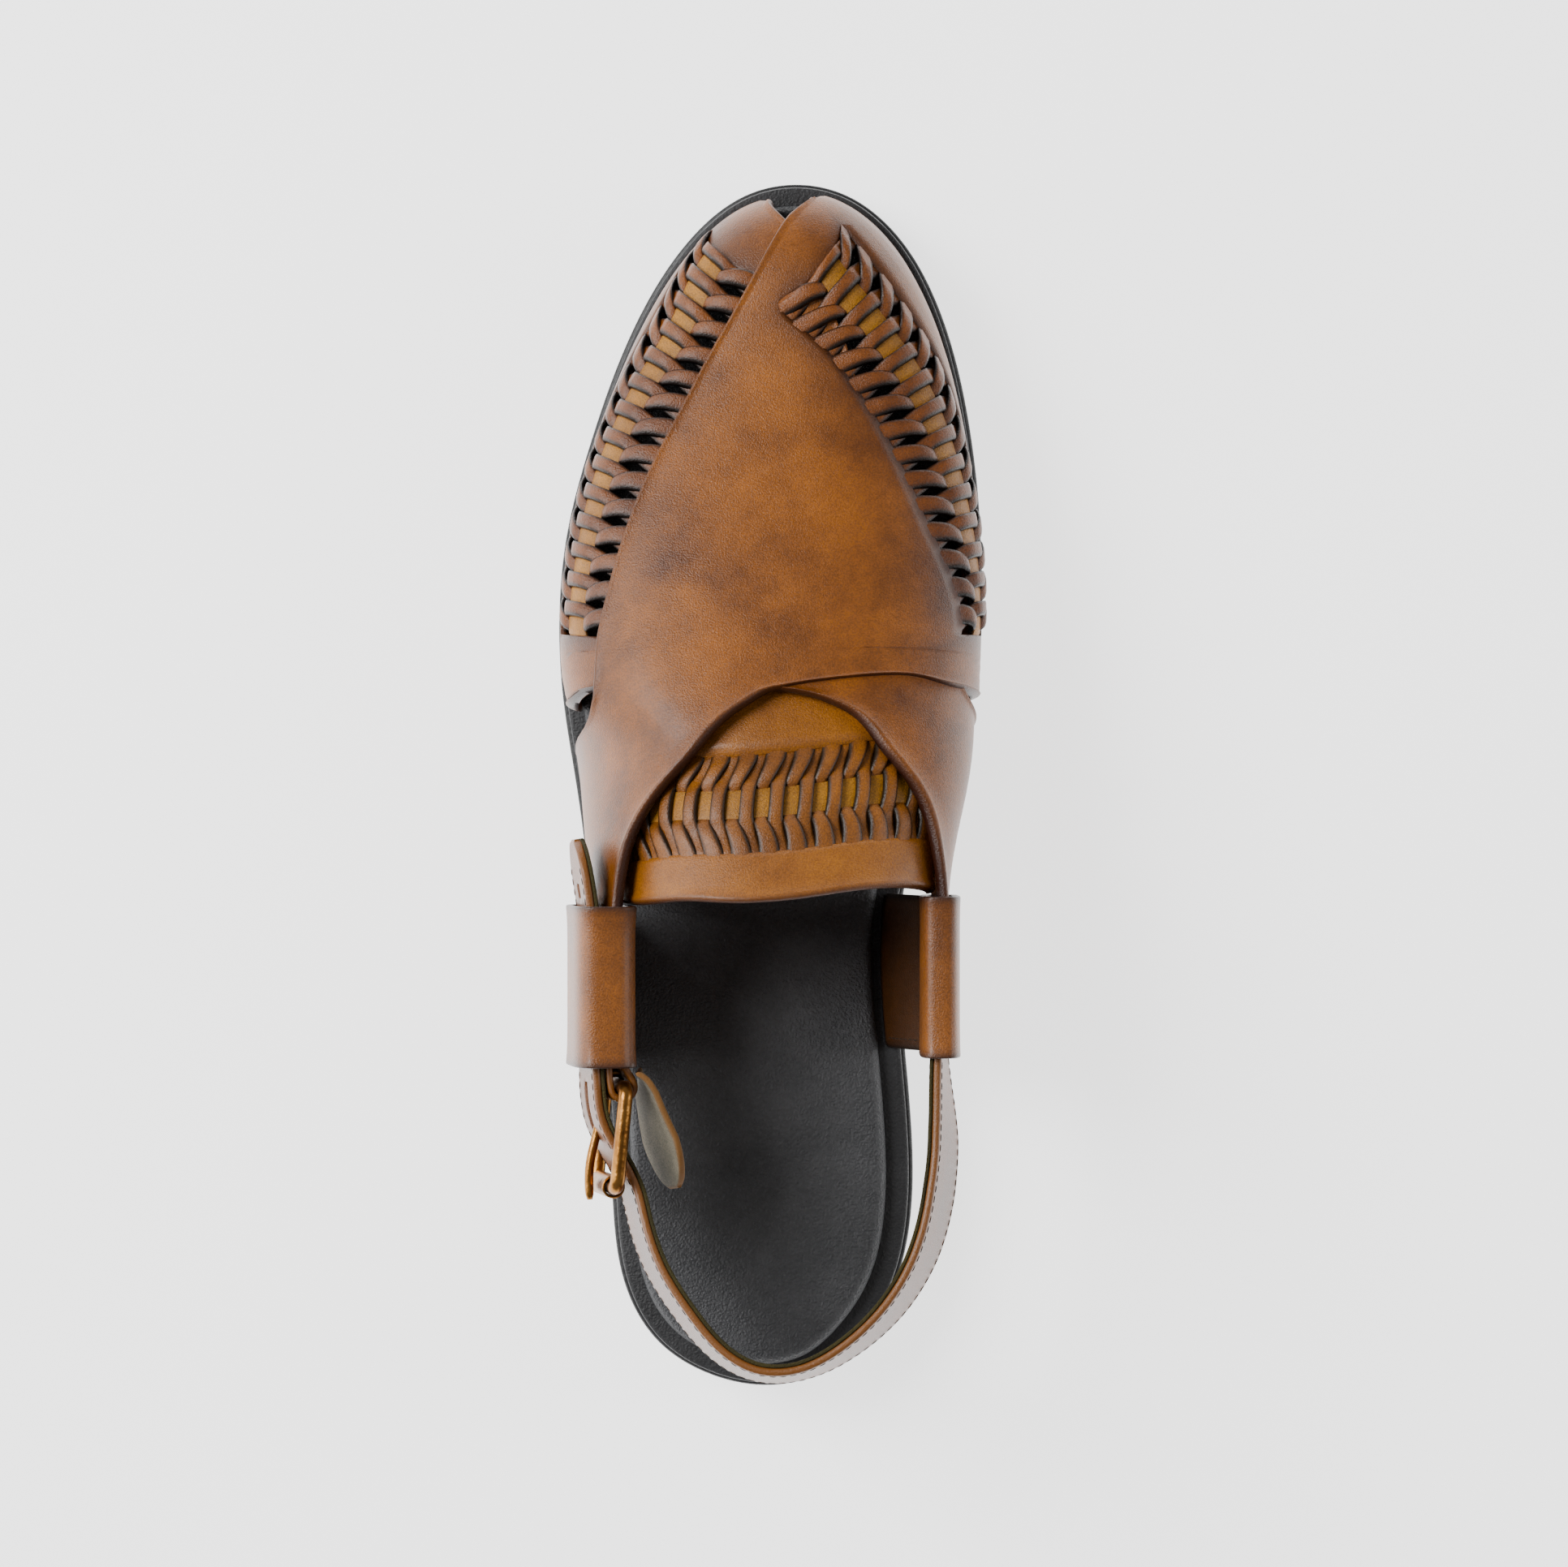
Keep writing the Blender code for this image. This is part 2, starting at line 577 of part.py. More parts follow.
def make_keeper(name, where, inward, cavity_half, lean, look):
    """Leather loop on a leg that stands on the midsole; inward is +1 or -1 along X."""
    x, y = tube_spot(where)
    cavity_height = 0.5 * STRAP_WIDTH + KEEPER_PLAY
    flares = ((-0.5, KEEPER_FLARE_SHARE), (-0.42, 1.0), (0.42, 1.0), (0.5, KEEPER_FLARE_SHARE))
    tilt = inward * lean

    def swept(half_width, half_height, margin):
        rings = []
        for share, flare in flares:
            ring = []
            for across, up in rounded_box(half_width * flare, half_height * flare):
                ring.append((
                    x + across * math.cos(tilt) + up * math.sin(tilt),
                    y + share * (KEEPER_LENGTH + margin),
                    SIDE_HEIGHT - across * math.sin(tilt) + up * math.cos(tilt),
                ))
            rings.append(ring)
        return loft(rings)

    tube = place(name, *swept(cavity_half + KEEPER_WALL, cavity_height + KEEPER_WALL, 0.0), look,
                 math.radians(35.0))
    cavity = place(name + "_cavity", *swept(cavity_half, cavity_height, 2.0 * KEEPER_WALL), None)
    top_x = x - math.sin(tilt) * cavity_height
    top_z = SIDE_HEIGHT - math.cos(tilt) * cavity_height
    rings = []
    for i in range(9):
        spot = y + (i / 8 - 0.5) * KEEPER_LENGTH * LEG_LENGTH_SHARE
        left, right = SideEdges.at(KEEPER_LEG_INSET).sides(spot)
        foot_x = right if inward < 0 else left
        foot_z = seat(spot)
        inside, outside = [], []
        for share in LEG_HEIGHT_SHARES:
            bow = KEEPER_BOW * inward * math.sin(math.pi * share)
            centre = foot_x + (top_x - foot_x) * share + bow
            up = foot_z + (top_z - 0.3 * KEEPER_WALL - foot_z) * share
            inside.append((centre + 0.5 * inward * KEEPER_LEG_THICK, spot, up))
            outside.append((centre - 0.5 * inward * KEEPER_LEG_THICK, spot, up))
        rings.append(inside + outside[::-1])
    leg = place(name + "_leg", *loft(rings), None)
    boolean(tube, leg, "UNION")
    boolean(tube, cavity, "DIFFERENCE")
    return tube


def band(name, spots, width, thick, leans, samples, look):
    """Flat strap swept along spots, upright but leaned over, with a rounded far end."""
    spots = np.array(spots)
    lengths = chord_lengths(spots)
    at = np.linspace(0.0, lengths[-1], samples)
    centre = natural_spline(lengths, spots, at)
    ahead = natural_spline(lengths, spots, np.minimum(at + 1e-4, lengths[-1]))
    behind = natural_spline(lengths, spots, np.maximum(at - 1e-4, 0.0))
    corner = 0.25 * thick
    rings = []
    for middle, tangent, done, lean in zip(centre, ahead - behind, at, np.interp(at, lengths, leans)):
        tangent /= np.linalg.norm(tangent)
        outward = np.array([-tangent[1], tangent[0], 0.0])
        outward /= np.linalg.norm(outward)
        upward = np.cross(outward, tangent)
        upward *= math.copysign(1.0, upward[2])
        leaned_up = math.cos(lean) * upward - math.sin(lean) * outward
        leaned_out = math.cos(lean) * outward + math.sin(lean) * upward
        near_tip = max(1.0 - (lengths[-1] - done) / (0.5 * width), 0.0)
        half = 0.5 * width * math.sqrt(max(1.0 - near_tip ** 2, TIP_FLAT_SHARE))
        side = 0.5 * thick
        section = (
            (side, half - corner), (side - corner, half), (corner - side, half), (-side, half - corner),
            (-side, corner - half), (corner - side, -half), (side - corner, -half), (side, corner - half),
        )
        rings.append([tuple(middle + leaned_out * out + leaned_up * up) for out, up in section])
    return place(name, *loft(rings), look, math.radians(50.0))


def make_heel_strap(look):
    spots = [(spot.across * BALL_WIDTH, spot.along * SHOE_LENGTH, SIDE_HEIGHT + spot.rise * BACK_RISE)
             for spot in STRAP_ROUTE]
    bar_x, bar_y = hinge_spot()
    for i, (inwards, forwards) in enumerate(STRAP_TAIL):
        rise = TAIL_RISE_SHARE * BACK_RISE if i == 0 else 0.0
        spots.append((bar_x + inwards, bar_y + forwards, SIDE_HEIGHT + rise))
    leans = [spot.lean * STRAP_LEAN for spot in STRAP_ROUTE]
    leans += [STRAP_LEAN if forwards < 0.0 else KEEPER_LEAN for _, forwards in STRAP_TAIL]
    strap = band("heel_strap", spots, STRAP_WIDTH, STRAP_THICK, leans, 52, look)
    slot = in_buckle_space(box("strap_slot", PRONG_SLOT_LOW, PRONG_SLOT_HIGH))
    boolean(strap, slot, "DIFFERENCE")
    return strap


def make_guard(look):
    """Loose rounded tab between buckle and foot, sewn to the rear end of the lateral keeper."""
    rear = LATERAL_TUBE[0] * SHOE_LENGTH - 0.5 * KEEPER_LENGTH - CLEARANCE - 0.5 * GUARD_THICK
    spots = [(spot.across * BALL_WIDTH, rear + spot.along * SHOE_LENGTH, SIDE_HEIGHT)
             for spot in GUARD_ROUTE]
    leans = [-spot.lean * GUARD_LEAN for spot in GUARD_ROUTE]
    return band("buckle_guard", spots, GUARD_HEIGHT, GUARD_THICK, leans, 22, look)


def in_buckle_space(made):
    """Move an object built about the hinge bar (X inwards, Y forwards, Z up) to its leaned place."""
    x, y = hinge_spot()
    made.location = (x, y, SIDE_HEIGHT)
    made.rotation_euler = (0.0, STRAP_LEAN, 0.0)
    return made


def box(name, low, high):
    corners = [(x, y, z) for x in (low[0], high[0]) for y in (low[1], high[1]) for z in (low[2], high[2])]
    faces = [(0, 1, 3, 2), (4, 6, 7, 5), (0, 4, 5, 1), (2, 3, 7, 6), (0, 2, 6, 4), (1, 5, 7, 3)]
    return place(name, corners, faces, None)


def cylinder(name, x, y, radius, half_height, look, sides=16):
    rings = []
    for z in (-half_height, half_height):
        rings.append([(x + radius * math.cos(2.0 * math.pi * i / sides),
                       y + radius * math.sin(2.0 * math.pi * i / sides), z) for i in range(sides)])
    return place(name, *loft(rings), look, math.radians(40.0))


def rod(name, route, diameter, look, plane, closed=False, sides=8):
    """Round rod swept along points in the plane with the given normal."""
    route = np.array(route, float)
    rings = []
    for i, middle in enumerate(route):
        if closed:
            along = route[(i + 1) % len(route)] - route[i - 1]
        else:
            along = route[min(i + 1, len(route) - 1)] - route[max(i - 1, 0)]
        along /= np.linalg.norm(along)
        first = np.cross(along, plane)
        first /= np.linalg.norm(first)
        second = np.cross(along, first)
        ring = []
        for j in range(sides):
            angle = 2.0 * math.pi * j / sides
            spoke = math.cos(angle) * first + math.sin(angle) * second
            ring.append(tuple(middle + 0.5 * diameter * spoke))
        rings.append(ring)
    return place(name, *loft(rings, closed_loop=closed), look, math.radians(50.0))


def make_frame(look):
    """Upright rectangular frame with rounded corners: hinge bar in front, roller bar behind."""
    roller_x, roller_y = ROLLER_OFFSET
    half = 0.5 * STRAP_WIDTH + FRAME_PLAY + 0.5 * ROD
    length = math.hypot(roller_x, roller_y)
    route = []
    for corner_along, corner_up, start in ((length, half, 0), (0.0, half, 90), (0.0, -half, 180),
                                           (length, -half, 270)):
        into_along = FRAME_CORNER if corner_along == 0.0 else -FRAME_CORNER
        into_up = -FRAME_CORNER if corner_up > 0.0 else FRAME_CORNER
        for step in range(4):
            angle = math.radians(start + 30.0 * step)
            along = corner_along + into_along + FRAME_CORNER * math.cos(angle)
            up = corner_up + into_up + FRAME_CORNER * math.sin(angle)
            route.append((roller_x * along / length, roller_y * along / length, up))
    return in_buckle_space(rod("buckle_frame", route, ROD, look, (1.0, 0.0, 0.0), closed=True))


def make_roller(look):
    half = 0.5 * STRAP_WIDTH + FRAME_PLAY - FRAME_CORNER
    roller = cylinder("buckle_roller", *ROLLER_OFFSET, 0.5 * ROLLER_DIAMETER, half, look)
    bore = cylinder("roller_bore", *ROLLER_OFFSET, 0.5 * ROLLER_BORE, 1.5 * half, None)
    boolean(roller, in_buckle_space(bore), "DIFFERENCE")
    return in_buckle_space(roller)


def make_prong(look):
    """Prong hooked round the hinge bar; it comes out through the strap and rests on the roller."""
    hook = 0.5 * ROD + CLEARANCE + 0.5 * PRONG_DIAMETER
    route = [(hook * math.cos(math.radians(a)), hook * math.sin(math.radians(a)), 0.0)
             for a in range(-60, 181, 24)]
    roller_x, roller_y = ROLLER_OFFSET
    resting = roller_x - 0.5 * (ROLLER_DIAMETER + PRONG_DIAMETER) - CLEARANCE
    ends = ((0.0, -hook), (-0.40, 0.35 * resting - 0.65 * hook), (-0.80, resting), (-1.15, resting))
    knots = [share for share, _ in ends]
    across = [value for _, value in ends]
    for i in range(1, 11):
        share = knots[-1] * i / 10
        out = natural_spline(-np.array(knots), np.array(across), np.array([-share]))[0]
        route.append((out, -share * roller_y, 0.0))
    return in_buckle_space(rod("buckle_prong", route, PRONG_DIAMETER, look, (0.0, 0.0, 1.0)))


def make_chape(look):
    """Doubled leather strip folded round the hinge bar, its two ends held in the lateral keeper."""
    ring = 0.5 * ROD + CLEARANCE + CHAPE_THICK
    _, bar_y = hinge_spot()
    back = LAST_BACK_SHARE * SHOE_LENGTH
    front = back + TAIL_END_SHARE * (SideEdges.at(LAST_INSET).toe - back)
    reach = front - 2.0 * CLEARANCE - bar_y
    outside, inside = CHAPE_SHIFT - CHAPE_THICK, CHAPE_SHIFT + CHAPE_THICK
    profile = [(inside, reach), (outside, reach), (outside, 0.3 * ring)]
    for degrees in range(190, 381, 19):
        angle = math.radians(degrees)
        profile.append((ring * math.cos(angle), ring * math.sin(angle)))
    profile.append((inside, 1.3 * ring))
    half = 0.5 * STRAP_WIDTH - CHAPE_INSET
    points, faces = loft([[(x, y, z) for x, y in profile] for z in (-half, half)])
    chape = place("buckle_chape", points, faces, look, math.radians(40.0))
    bore = in_buckle_space(cylinder("chape_bore", 0.0, 0.0, 0.5 * ROD + CLEARANCE, 2.0 * half, None))
    slot_half = 0.5 * PRONG_DIAMETER + PRONG_PLAY
    slot = in_buckle_space(box("chape_slot", (-2.0 * ring, -2.0 * ring, -slot_half),
                               (2.0 * ring, 1.5 * ring, slot_half)))
    boolean(chape, bore, "DIFFERENCE")
    boolean(chape, slot, "DIFFERENCE")
    return in_buckle_space(chape)


for old in list(bpy.data.objects):
    bpy.data.objects.remove(old, do_unlink=True)

sole_centre = bpy.data.objects.new("sole_centre", None)
sole_centre.location = (-0.5 * (OUTLINE[:, 0].min() + OUTLINE[:, 0].max()), -0.5 * SHOE_LENGTH, 0.0)
bpy.context.scene.collection.objects.link(sole_centre)

cognac = material("cognac_leather", (0.29, 0.10, 0.028), 0.38)
ochre = material("ochre_leather", (0.36, 0.16, 0.030), 0.45)
edge_brown = material("strap_leather", (0.24, 0.085, 0.030), 0.42)
black_rubber = material("black_rubber", (0.012, 0.012, 0.012), 0.55)
black_leather = material("black_leather", (0.022, 0.021, 0.022), 0.5)
grey_leather = material("grey_leather", (0.16, 0.15, 0.13), 0.7)
brass = material("aged_brass", (0.50, 0.33, 0.12), 0.35, 1.0)

sole_layer("heel_block", ((HEEL_INSET, lambda y: 0.0, 0.0),
                          (HEEL_INSET, lambda y: outsole_bottom(y) - CLEARANCE, 0.0)),
           black_rubber, front=HEEL_BLOCK_LENGTH, stations=20)
sole_layer("outsole", ((0.0, outsole_bottom, 0.0),
                       (0.0, lambda y: outsole_bottom(y) + OUTSOLE_THICK, 0.0)), black_rubber)
sole_layer("midsole", ((MIDSOLE_INSET, midsole_bottom, 0.0),
                       (MIDSOLE_INSET, lambda y: midsole_bottom(y) + MIDSOLE_THICK, 0.0)), black_leather)
sole_layer("insole", ((INSOLE_INSET, seat, LAST_SHIFT), *(
    (INSOLE_INSET + inward * INSOLE_ROUNDING, lambda y, up=up: seat(y) + up * INSOLE_THICK, LAST_SHIFT)
    for inward, up in INSOLE_ROLL)), black_leather)
make_upper(cognac)
make_tongue(ochre)
make_keeper("keeper_lateral", LATERAL_TUBE, 1, 0.5 * LATERAL_CAVITY, KEEPER_LEAN, cognac)
make_keeper("keeper_medial", MEDIAL_TUBE, -1, 0.5 * MEDIAL_CAVITY, 0.0, cognac)
make_heel_strap(edge_brown)
make_frame(brass)
make_roller(brass)
make_prong(brass)
make_chape(cognac)
make_guard(grey_leather)
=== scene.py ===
"""Left peshawari chappal, dressed: smooth sole, woven leather panels, tongue, keepers, strap and buckle.

Shapes are worked out in the shoe's own frame, whose origin is under the rearmost point of the heel,
and moved so that the origin is under the middle of the sole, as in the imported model.
"""
import math
from collections import namedtuple

import bmesh
import bpy
import numpy as np
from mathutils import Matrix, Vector


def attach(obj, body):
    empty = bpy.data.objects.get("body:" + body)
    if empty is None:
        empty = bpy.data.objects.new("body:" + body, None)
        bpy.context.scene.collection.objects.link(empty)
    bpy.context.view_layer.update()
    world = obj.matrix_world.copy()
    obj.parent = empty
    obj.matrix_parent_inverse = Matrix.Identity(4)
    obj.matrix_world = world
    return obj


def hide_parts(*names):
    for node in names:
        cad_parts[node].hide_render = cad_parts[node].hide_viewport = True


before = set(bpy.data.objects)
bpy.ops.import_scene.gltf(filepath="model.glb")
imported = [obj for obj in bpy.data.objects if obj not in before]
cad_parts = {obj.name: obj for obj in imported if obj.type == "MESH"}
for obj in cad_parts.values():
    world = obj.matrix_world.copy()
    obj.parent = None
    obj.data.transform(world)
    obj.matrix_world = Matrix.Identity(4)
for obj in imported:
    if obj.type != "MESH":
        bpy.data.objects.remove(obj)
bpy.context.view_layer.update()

# Studio: a plain pale floor, one large soft light from the upper left and a soft strip at each side.
# The camera looks straight down from 1.4 m, as in the photo, with the toe at the top.
FLOOR_REACH = 20.0
FLOOR_LEVEL = -0.0004
floor_mesh = bpy.data.meshes.new("floor")
corners = [(x * FLOOR_REACH, y * FLOOR_REACH, FLOOR_LEVEL) for x, y in ((-1, -1), (1, -1), (1, 1), (-1, 1))]
floor_mesh.from_pydata(corners, [], [(0, 1, 2, 3)])
floor = bpy.data.objects.new("floor", floor_mesh)
bpy.context.scene.collection.objects.link(floor)
pale = bpy.data.materials.new("pale_floor")
pale.use_nodes = True
pale_shader = pale.node_tree.nodes["Principled BSDF"]
pale_shader.inputs["Base Color"].default_value = (0.86, 0.86, 0.86, 1.0)
pale_shader.inputs["Roughness"].default_value = 0.9
pale_shader.inputs["Specular IOR Level"].default_value = 0.1
pale_shader.inputs["Emission Color"].default_value = (1.0, 1.0, 1.0, 1.0)
pale_shader.inputs["Emission Strength"].default_value = 2.0
floor_mesh.materials.append(pale)

world = bpy.data.worlds.new("studio")
world.use_nodes = True
world.node_tree.nodes["Background"].inputs["Color"].default_value = (1.0, 1.0, 1.0, 1.0)
world.node_tree.nodes["Background"].inputs["Strength"].default_value = 0.26
bpy.context.scene.world = world


def soft_light(name, place, aim, size, power):
    lamp = bpy.data.lights.new(name, "AREA")
    lamp.shape = "RECTANGLE"
    lamp.size, lamp.size_y = size
    lamp.energy = power
    holder = bpy.data.objects.new(name, lamp)
    holder.location = place
    holder.rotation_euler = (Vector(aim) - Vector(place)).to_track_quat("-Z", "Y").to_euler()
    bpy.context.scene.collection.objects.link(holder)


soft_light("left_softbox", (-1.05, 0.50, 1.15), (0.0, 0.02, 0.03), (0.7, 0.9), 32.0)
soft_light("left_strip", (-1.3, -0.1, 0.45), (0.0, 0.0, 0.03), (0.4, 1.2), 6.0)
soft_light("right_strip", (1.3, 0.1, 0.65), (0.0, 0.0, 0.03), (0.4, 1.0), 5.0)

CAMERA_HEIGHT = 1.4
PICTURE_WIDTH = 0.37985
PICTURE_LEVEL = 0.012
CAMERA_ACROSS = 0.0034
camera_data = bpy.data.cameras.new("camera")
camera_data.sensor_width = 36.0
camera_data.lens = 36.0 * (CAMERA_HEIGHT - PICTURE_LEVEL) / PICTURE_WIDTH
camera = bpy.data.objects.new("camera", camera_data)
camera.location = (CAMERA_ACROSS, 0.0, CAMERA_HEIGHT)
bpy.context.scene.collection.objects.link(camera)
bpy.context.scene.camera = camera

# Outsole: one slab of black rubber with the sole's outline, an arch and a little toe spring.
# Its edge stands a millimetre proud of the midsole and catches the light as a thin shiny line.
SHOE_LENGTH = 0.290
BALL_WIDTH = 0.103
HEEL_LIFT = 0.014
TOE_SPRING = 0.008
HEEL_END = 0.27
TREAD_START = 0.50
TOE_BREAK = 0.74
OUTSOLE_THICK = 0.006
CLEARANCE = 0.0003
TOE_POINT = (1.0, 0.073)
HEEL_POINT = (0.0, 0.0)
LATERAL_EDGE = (
    (0.992, -0.036), (0.951, -0.183), (0.9105, -0.263), (0.8495, -0.346),
    (0.788, -0.407), (0.707, -0.466), (0.639, -0.483), (0.5715, -0.474),
    (0.504, -0.445), (0.409, -0.409), (0.307, -0.382), (0.205, -0.359),
    (0.138, -0.350), (0.083, -0.323), (0.036, -0.245), (0.009, -0.124),
)
MEDIAL_EDGE = (
    (0.009, 0.125), (0.036, 0.220), (0.083, 0.306), (0.138, 0.344),
    (0.205, 0.348), (0.307, 0.325), (0.409, 0.330), (0.504, 0.420),
    (0.5715, 0.487), (0.639, 0.510), (0.707, 0.513), (0.788, 0.492),
    (0.8495, 0.458), (0.9105, 0.399), (0.951, 0.332), (0.992, 0.190),
)


def natural_spline(knots, values, at):
    """Natural cubic spline through (knots, values), read at the parameters in at."""
    knots = np.asarray(knots, float)
    values = np.asarray(values, float)
    at = np.asarray(at, float)
    step = np.diff(knots)
    count = len(knots)
    system = np.zeros((count, count))
    right = np.zeros(values.shape)
    system[0, 0] = system[-1, -1] = 1.0
    for i in range(1, count - 1):
        system[i, i - 1:i + 2] = step[i - 1], 2.0 * (step[i - 1] + step[i]), step[i]
        right[i] = 6.0 * ((values[i + 1] - values[i]) / step[i] - (values[i] - values[i - 1]) / step[i - 1])
    bend = np.linalg.solve(system, right)
    low = np.clip(np.searchsorted(knots, at, side="right") - 1, 0, count - 2)
    width = step[low]
    after = at - knots[low]
    before = width - after
    if values.ndim > 1:
        width, after, before = width[..., None], after[..., None], before[..., None]
    cubic = (bend[low] * before ** 3 + bend[low + 1] * after ** 3) / (6.0 * width)
    line = (values[low] / width - bend[low] * width / 6.0) * before
    return cubic + line + (values[low + 1] / width - bend[low + 1] * width / 6.0) * after


def chord_lengths(points):
    return np.concatenate([[0.0], np.cumsum(np.linalg.norm(np.diff(points, axis=0), axis=1))])


def sole_outline(samples=600):
    loop = [TOE_POINT, *LATERAL_EDGE, HEEL_POINT, *MEDIAL_EDGE]
    points = np.array([(across * BALL_WIDTH, along * SHOE_LENGTH) for along, across in loop])
    wrap = 4
    ring = np.vstack([points[-wrap:], points, points[:wrap + 1]])
    lengths = chord_lengths(ring)
    start, end = lengths[wrap], lengths[wrap + len(points)]
    return natural_spline(lengths, ring, start + (end - start) * np.arange(samples) / samples)


OUTLINE = sole_outline()
MIDDLE = np.array([0.5 * (OUTLINE[:, 0].min() + OUTLINE[:, 0].max()), 0.5 * SHOE_LENGTH, 0.0])


class SideEdges:
    """Left and right edge of the sole's outline moved inwards by an inset."""

    made = {}

    def __init__(self, inset):
        tangent = np.roll(OUTLINE, -1, axis=0) - np.roll(OUTLINE, 1, axis=0)
        tangent /= np.linalg.norm(tangent, axis=1)[:, None]
        moved = OUTLINE + inset * np.stack([-tangent[:, 1], tangent[:, 0]], axis=1)
        moved = np.roll(moved, -int(np.argmax(moved[:, 1])), axis=0)
        low = int(np.argmin(moved[:, 1]))
        self.lateral = moved[:low + 1][::-1]
        self.medial = np.vstack([moved[low:], moved[:1]])
        self.heel = float(moved[low, 1])
        self.toe = float(moved[0, 1])

    @classmethod
    def at(cls, inset):
        key = round(inset, 6)
        if key not in cls.made:
            cls.made[key] = cls(key)
        return cls.made[key]

    def sides(self, y):
        lateral = np.interp(y, self.lateral[:, 1], self.lateral[:, 0])
        medial = np.interp(y, self.medial[:, 1], self.medial[:, 0])
        return lateral, medial


def outsole_bottom(y):
    along = y / SHOE_LENGTH
    into_arch = min(max((along - HEEL_END) / (TREAD_START - HEEL_END), 0.0), 1.0)
    arch = HEEL_LIFT * (1.0 - into_arch * into_arch * (3.0 - 2.0 * into_arch))
    spring = TOE_SPRING * (max(along - TOE_BREAK, 0.0) / (1.0 - TOE_BREAK)) ** 2
    return arch + spring


def piece(name, points, faces, look, replaces=(), smooth_angle=None, marks=None):
    """Make a finished piece from points in the shoe's frame; marks are float attributes of its points."""
    mesh = bpy.data.meshes.new(name)
    mesh.from_pydata([tuple(np.asarray(point) - MIDDLE) for point in points], [], faces)
    for mark, values in (marks or {}).items():
        layer = mesh.attributes.new(mark, "FLOAT", "POINT")
        layer.data.foreach_set("value", np.asarray(values, np.float32))
    work = bmesh.new()
    work.from_mesh(mesh)
    bmesh.ops.remove_doubles(work, verts=work.verts[:], dist=1e-7)
    bmesh.ops.recalc_face_normals(work, faces=work.faces[:])
    work.to_mesh(mesh)
    work.free()
    mesh.shade_smooth()
    if smooth_angle is not None:
        mesh.set_sharp_from_angle(angle=smooth_angle)
    mesh.materials.append(look)
    made = bpy.data.objects.new(name, mesh)
    bpy.context.scene.collection.objects.link(made)
    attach(made, "root")
    if replaces:
        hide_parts(*replaces)
    return made


def loft(rings, closed_ends=True, closed_loop=False):
    """Faces over rings of equally many points; returns points and faces."""
    size = len(rings[0])
    points = [point for ring in rings for point in ring]
    faces = []
    for i in range(len(rings) if closed_loop else len(rings) - 1):
        here, there = i * size, ((i + 1) % len(rings)) * size
        for j in range(size):
            after = (j + 1) % size
            faces.append((here + j, here + after, there + after, there + j))
    if closed_ends and not closed_loop:
        faces.append(tuple(range(size))[::-1])
        faces.append(tuple(range(len(points) - size, len(points))))
    return points, faces


def sole_layer(name, profile, look, shift=0.0, front=None, stations=180):
    """Layer with the sole's outline; profile lists (inset, height function) from underside to top."""
    rings = []
    for i in range(stations + 1):
        share = i / stations
        left_side, right_side = [], []
        for inset, height in profile:
            edges = SideEdges.at(inset)
            if front is None:
                y = edges.heel + (edges.toe - edges.heel) * (0.5 - 0.5 * math.cos(math.pi * share))
            else:
                y = edges.heel + (front - edges.heel) * (1.0 - math.cos(0.5 * math.pi * share))
            left, right = edges.sides(y)
            if i == 0 or (i == stations and front is None):
                left = right = 0.5 * (left + right)
            left_side.append((left - shift, y, height(y)))
            right_side.append((right - shift, y, height(y)))
        rings.append(left_side + right_side[::-1])
    points, faces = loft(rings, closed_ends=front is not None)
    return piece(name, points, faces, look, (name,), math.radians(50.0))


def add_node(tree, kind, **values):
    """New node with some inputs set; an underscore in a name stands for a space."""
    node = tree.nodes.new(kind)
    for socket, value in values.items():
        node.inputs[socket.replace("_", " ")].default_value = value
    return node


def surface_material(name, colors, mottle, roughness, bump, grain, coat=0.0, metallic=0.0, mottle_size=60.0):
    """Worn finish: colours mottled by noise, fine grain in the bump, and roughness that varies a little."""
    made = bpy.data.materials.new(name)
    made.use_nodes = True
    tree = made.node_tree
    place = add_node(tree, "ShaderNodeTexCoord")
    cloud = add_node(tree, "ShaderNodeTexNoise", Scale=mottle_size, Detail=6.0, Roughness=0.65)
    ramp = add_node(tree, "ShaderNodeValToRGB")
    for stop, side, color in zip(ramp.color_ramp.elements, (-mottle, mottle), colors):
        stop.position = 0.5 + side
        stop.color = (*color, 1.0)
    cells = add_node(tree, "ShaderNodeTexVoronoi", Scale=grain)
    fine = add_node(tree, "ShaderNodeTexNoise", Scale=grain * 1.7, Detail=3.0)
    both = add_node(tree, "ShaderNodeMath")
    both.operation = "MULTIPLY_ADD"
    both.inputs[1].default_value = 0.7
    relief = add_node(tree, "ShaderNodeBump", Strength=bump, Distance=0.0004)
    rough = add_node(tree, "ShaderNodeMapRange", To_Min=roughness - 0.07, To_Max=roughness + 0.07)
    surface = tree.nodes["Principled BSDF"].inputs
    for texture in (cloud, cells, fine):
        tree.links.new(place.outputs["Object"], texture.inputs["Vector"])
    for source, target in (
            (cloud.outputs["Fac"], ramp.inputs["Fac"]), (ramp.outputs["Color"], surface["Base Color"]),
            (cells.outputs["Distance"], both.inputs[0]), (fine.outputs["Fac"], both.inputs[2]),
            (both.outputs["Value"], relief.inputs["Height"]), (relief.outputs["Normal"], surface["Normal"]),
            (cloud.outputs["Fac"], rough.inputs["Value"]), (rough.outputs["Result"], surface["Roughness"])):
        tree.links.new(source, target)
    surface["Metallic"].default_value = metallic
    surface["Coat Weight"].default_value = coat
    surface["Coat Roughness"].default_value = 0.25
    surface["Specular IOR Level"].default_value = 0.42
    return made


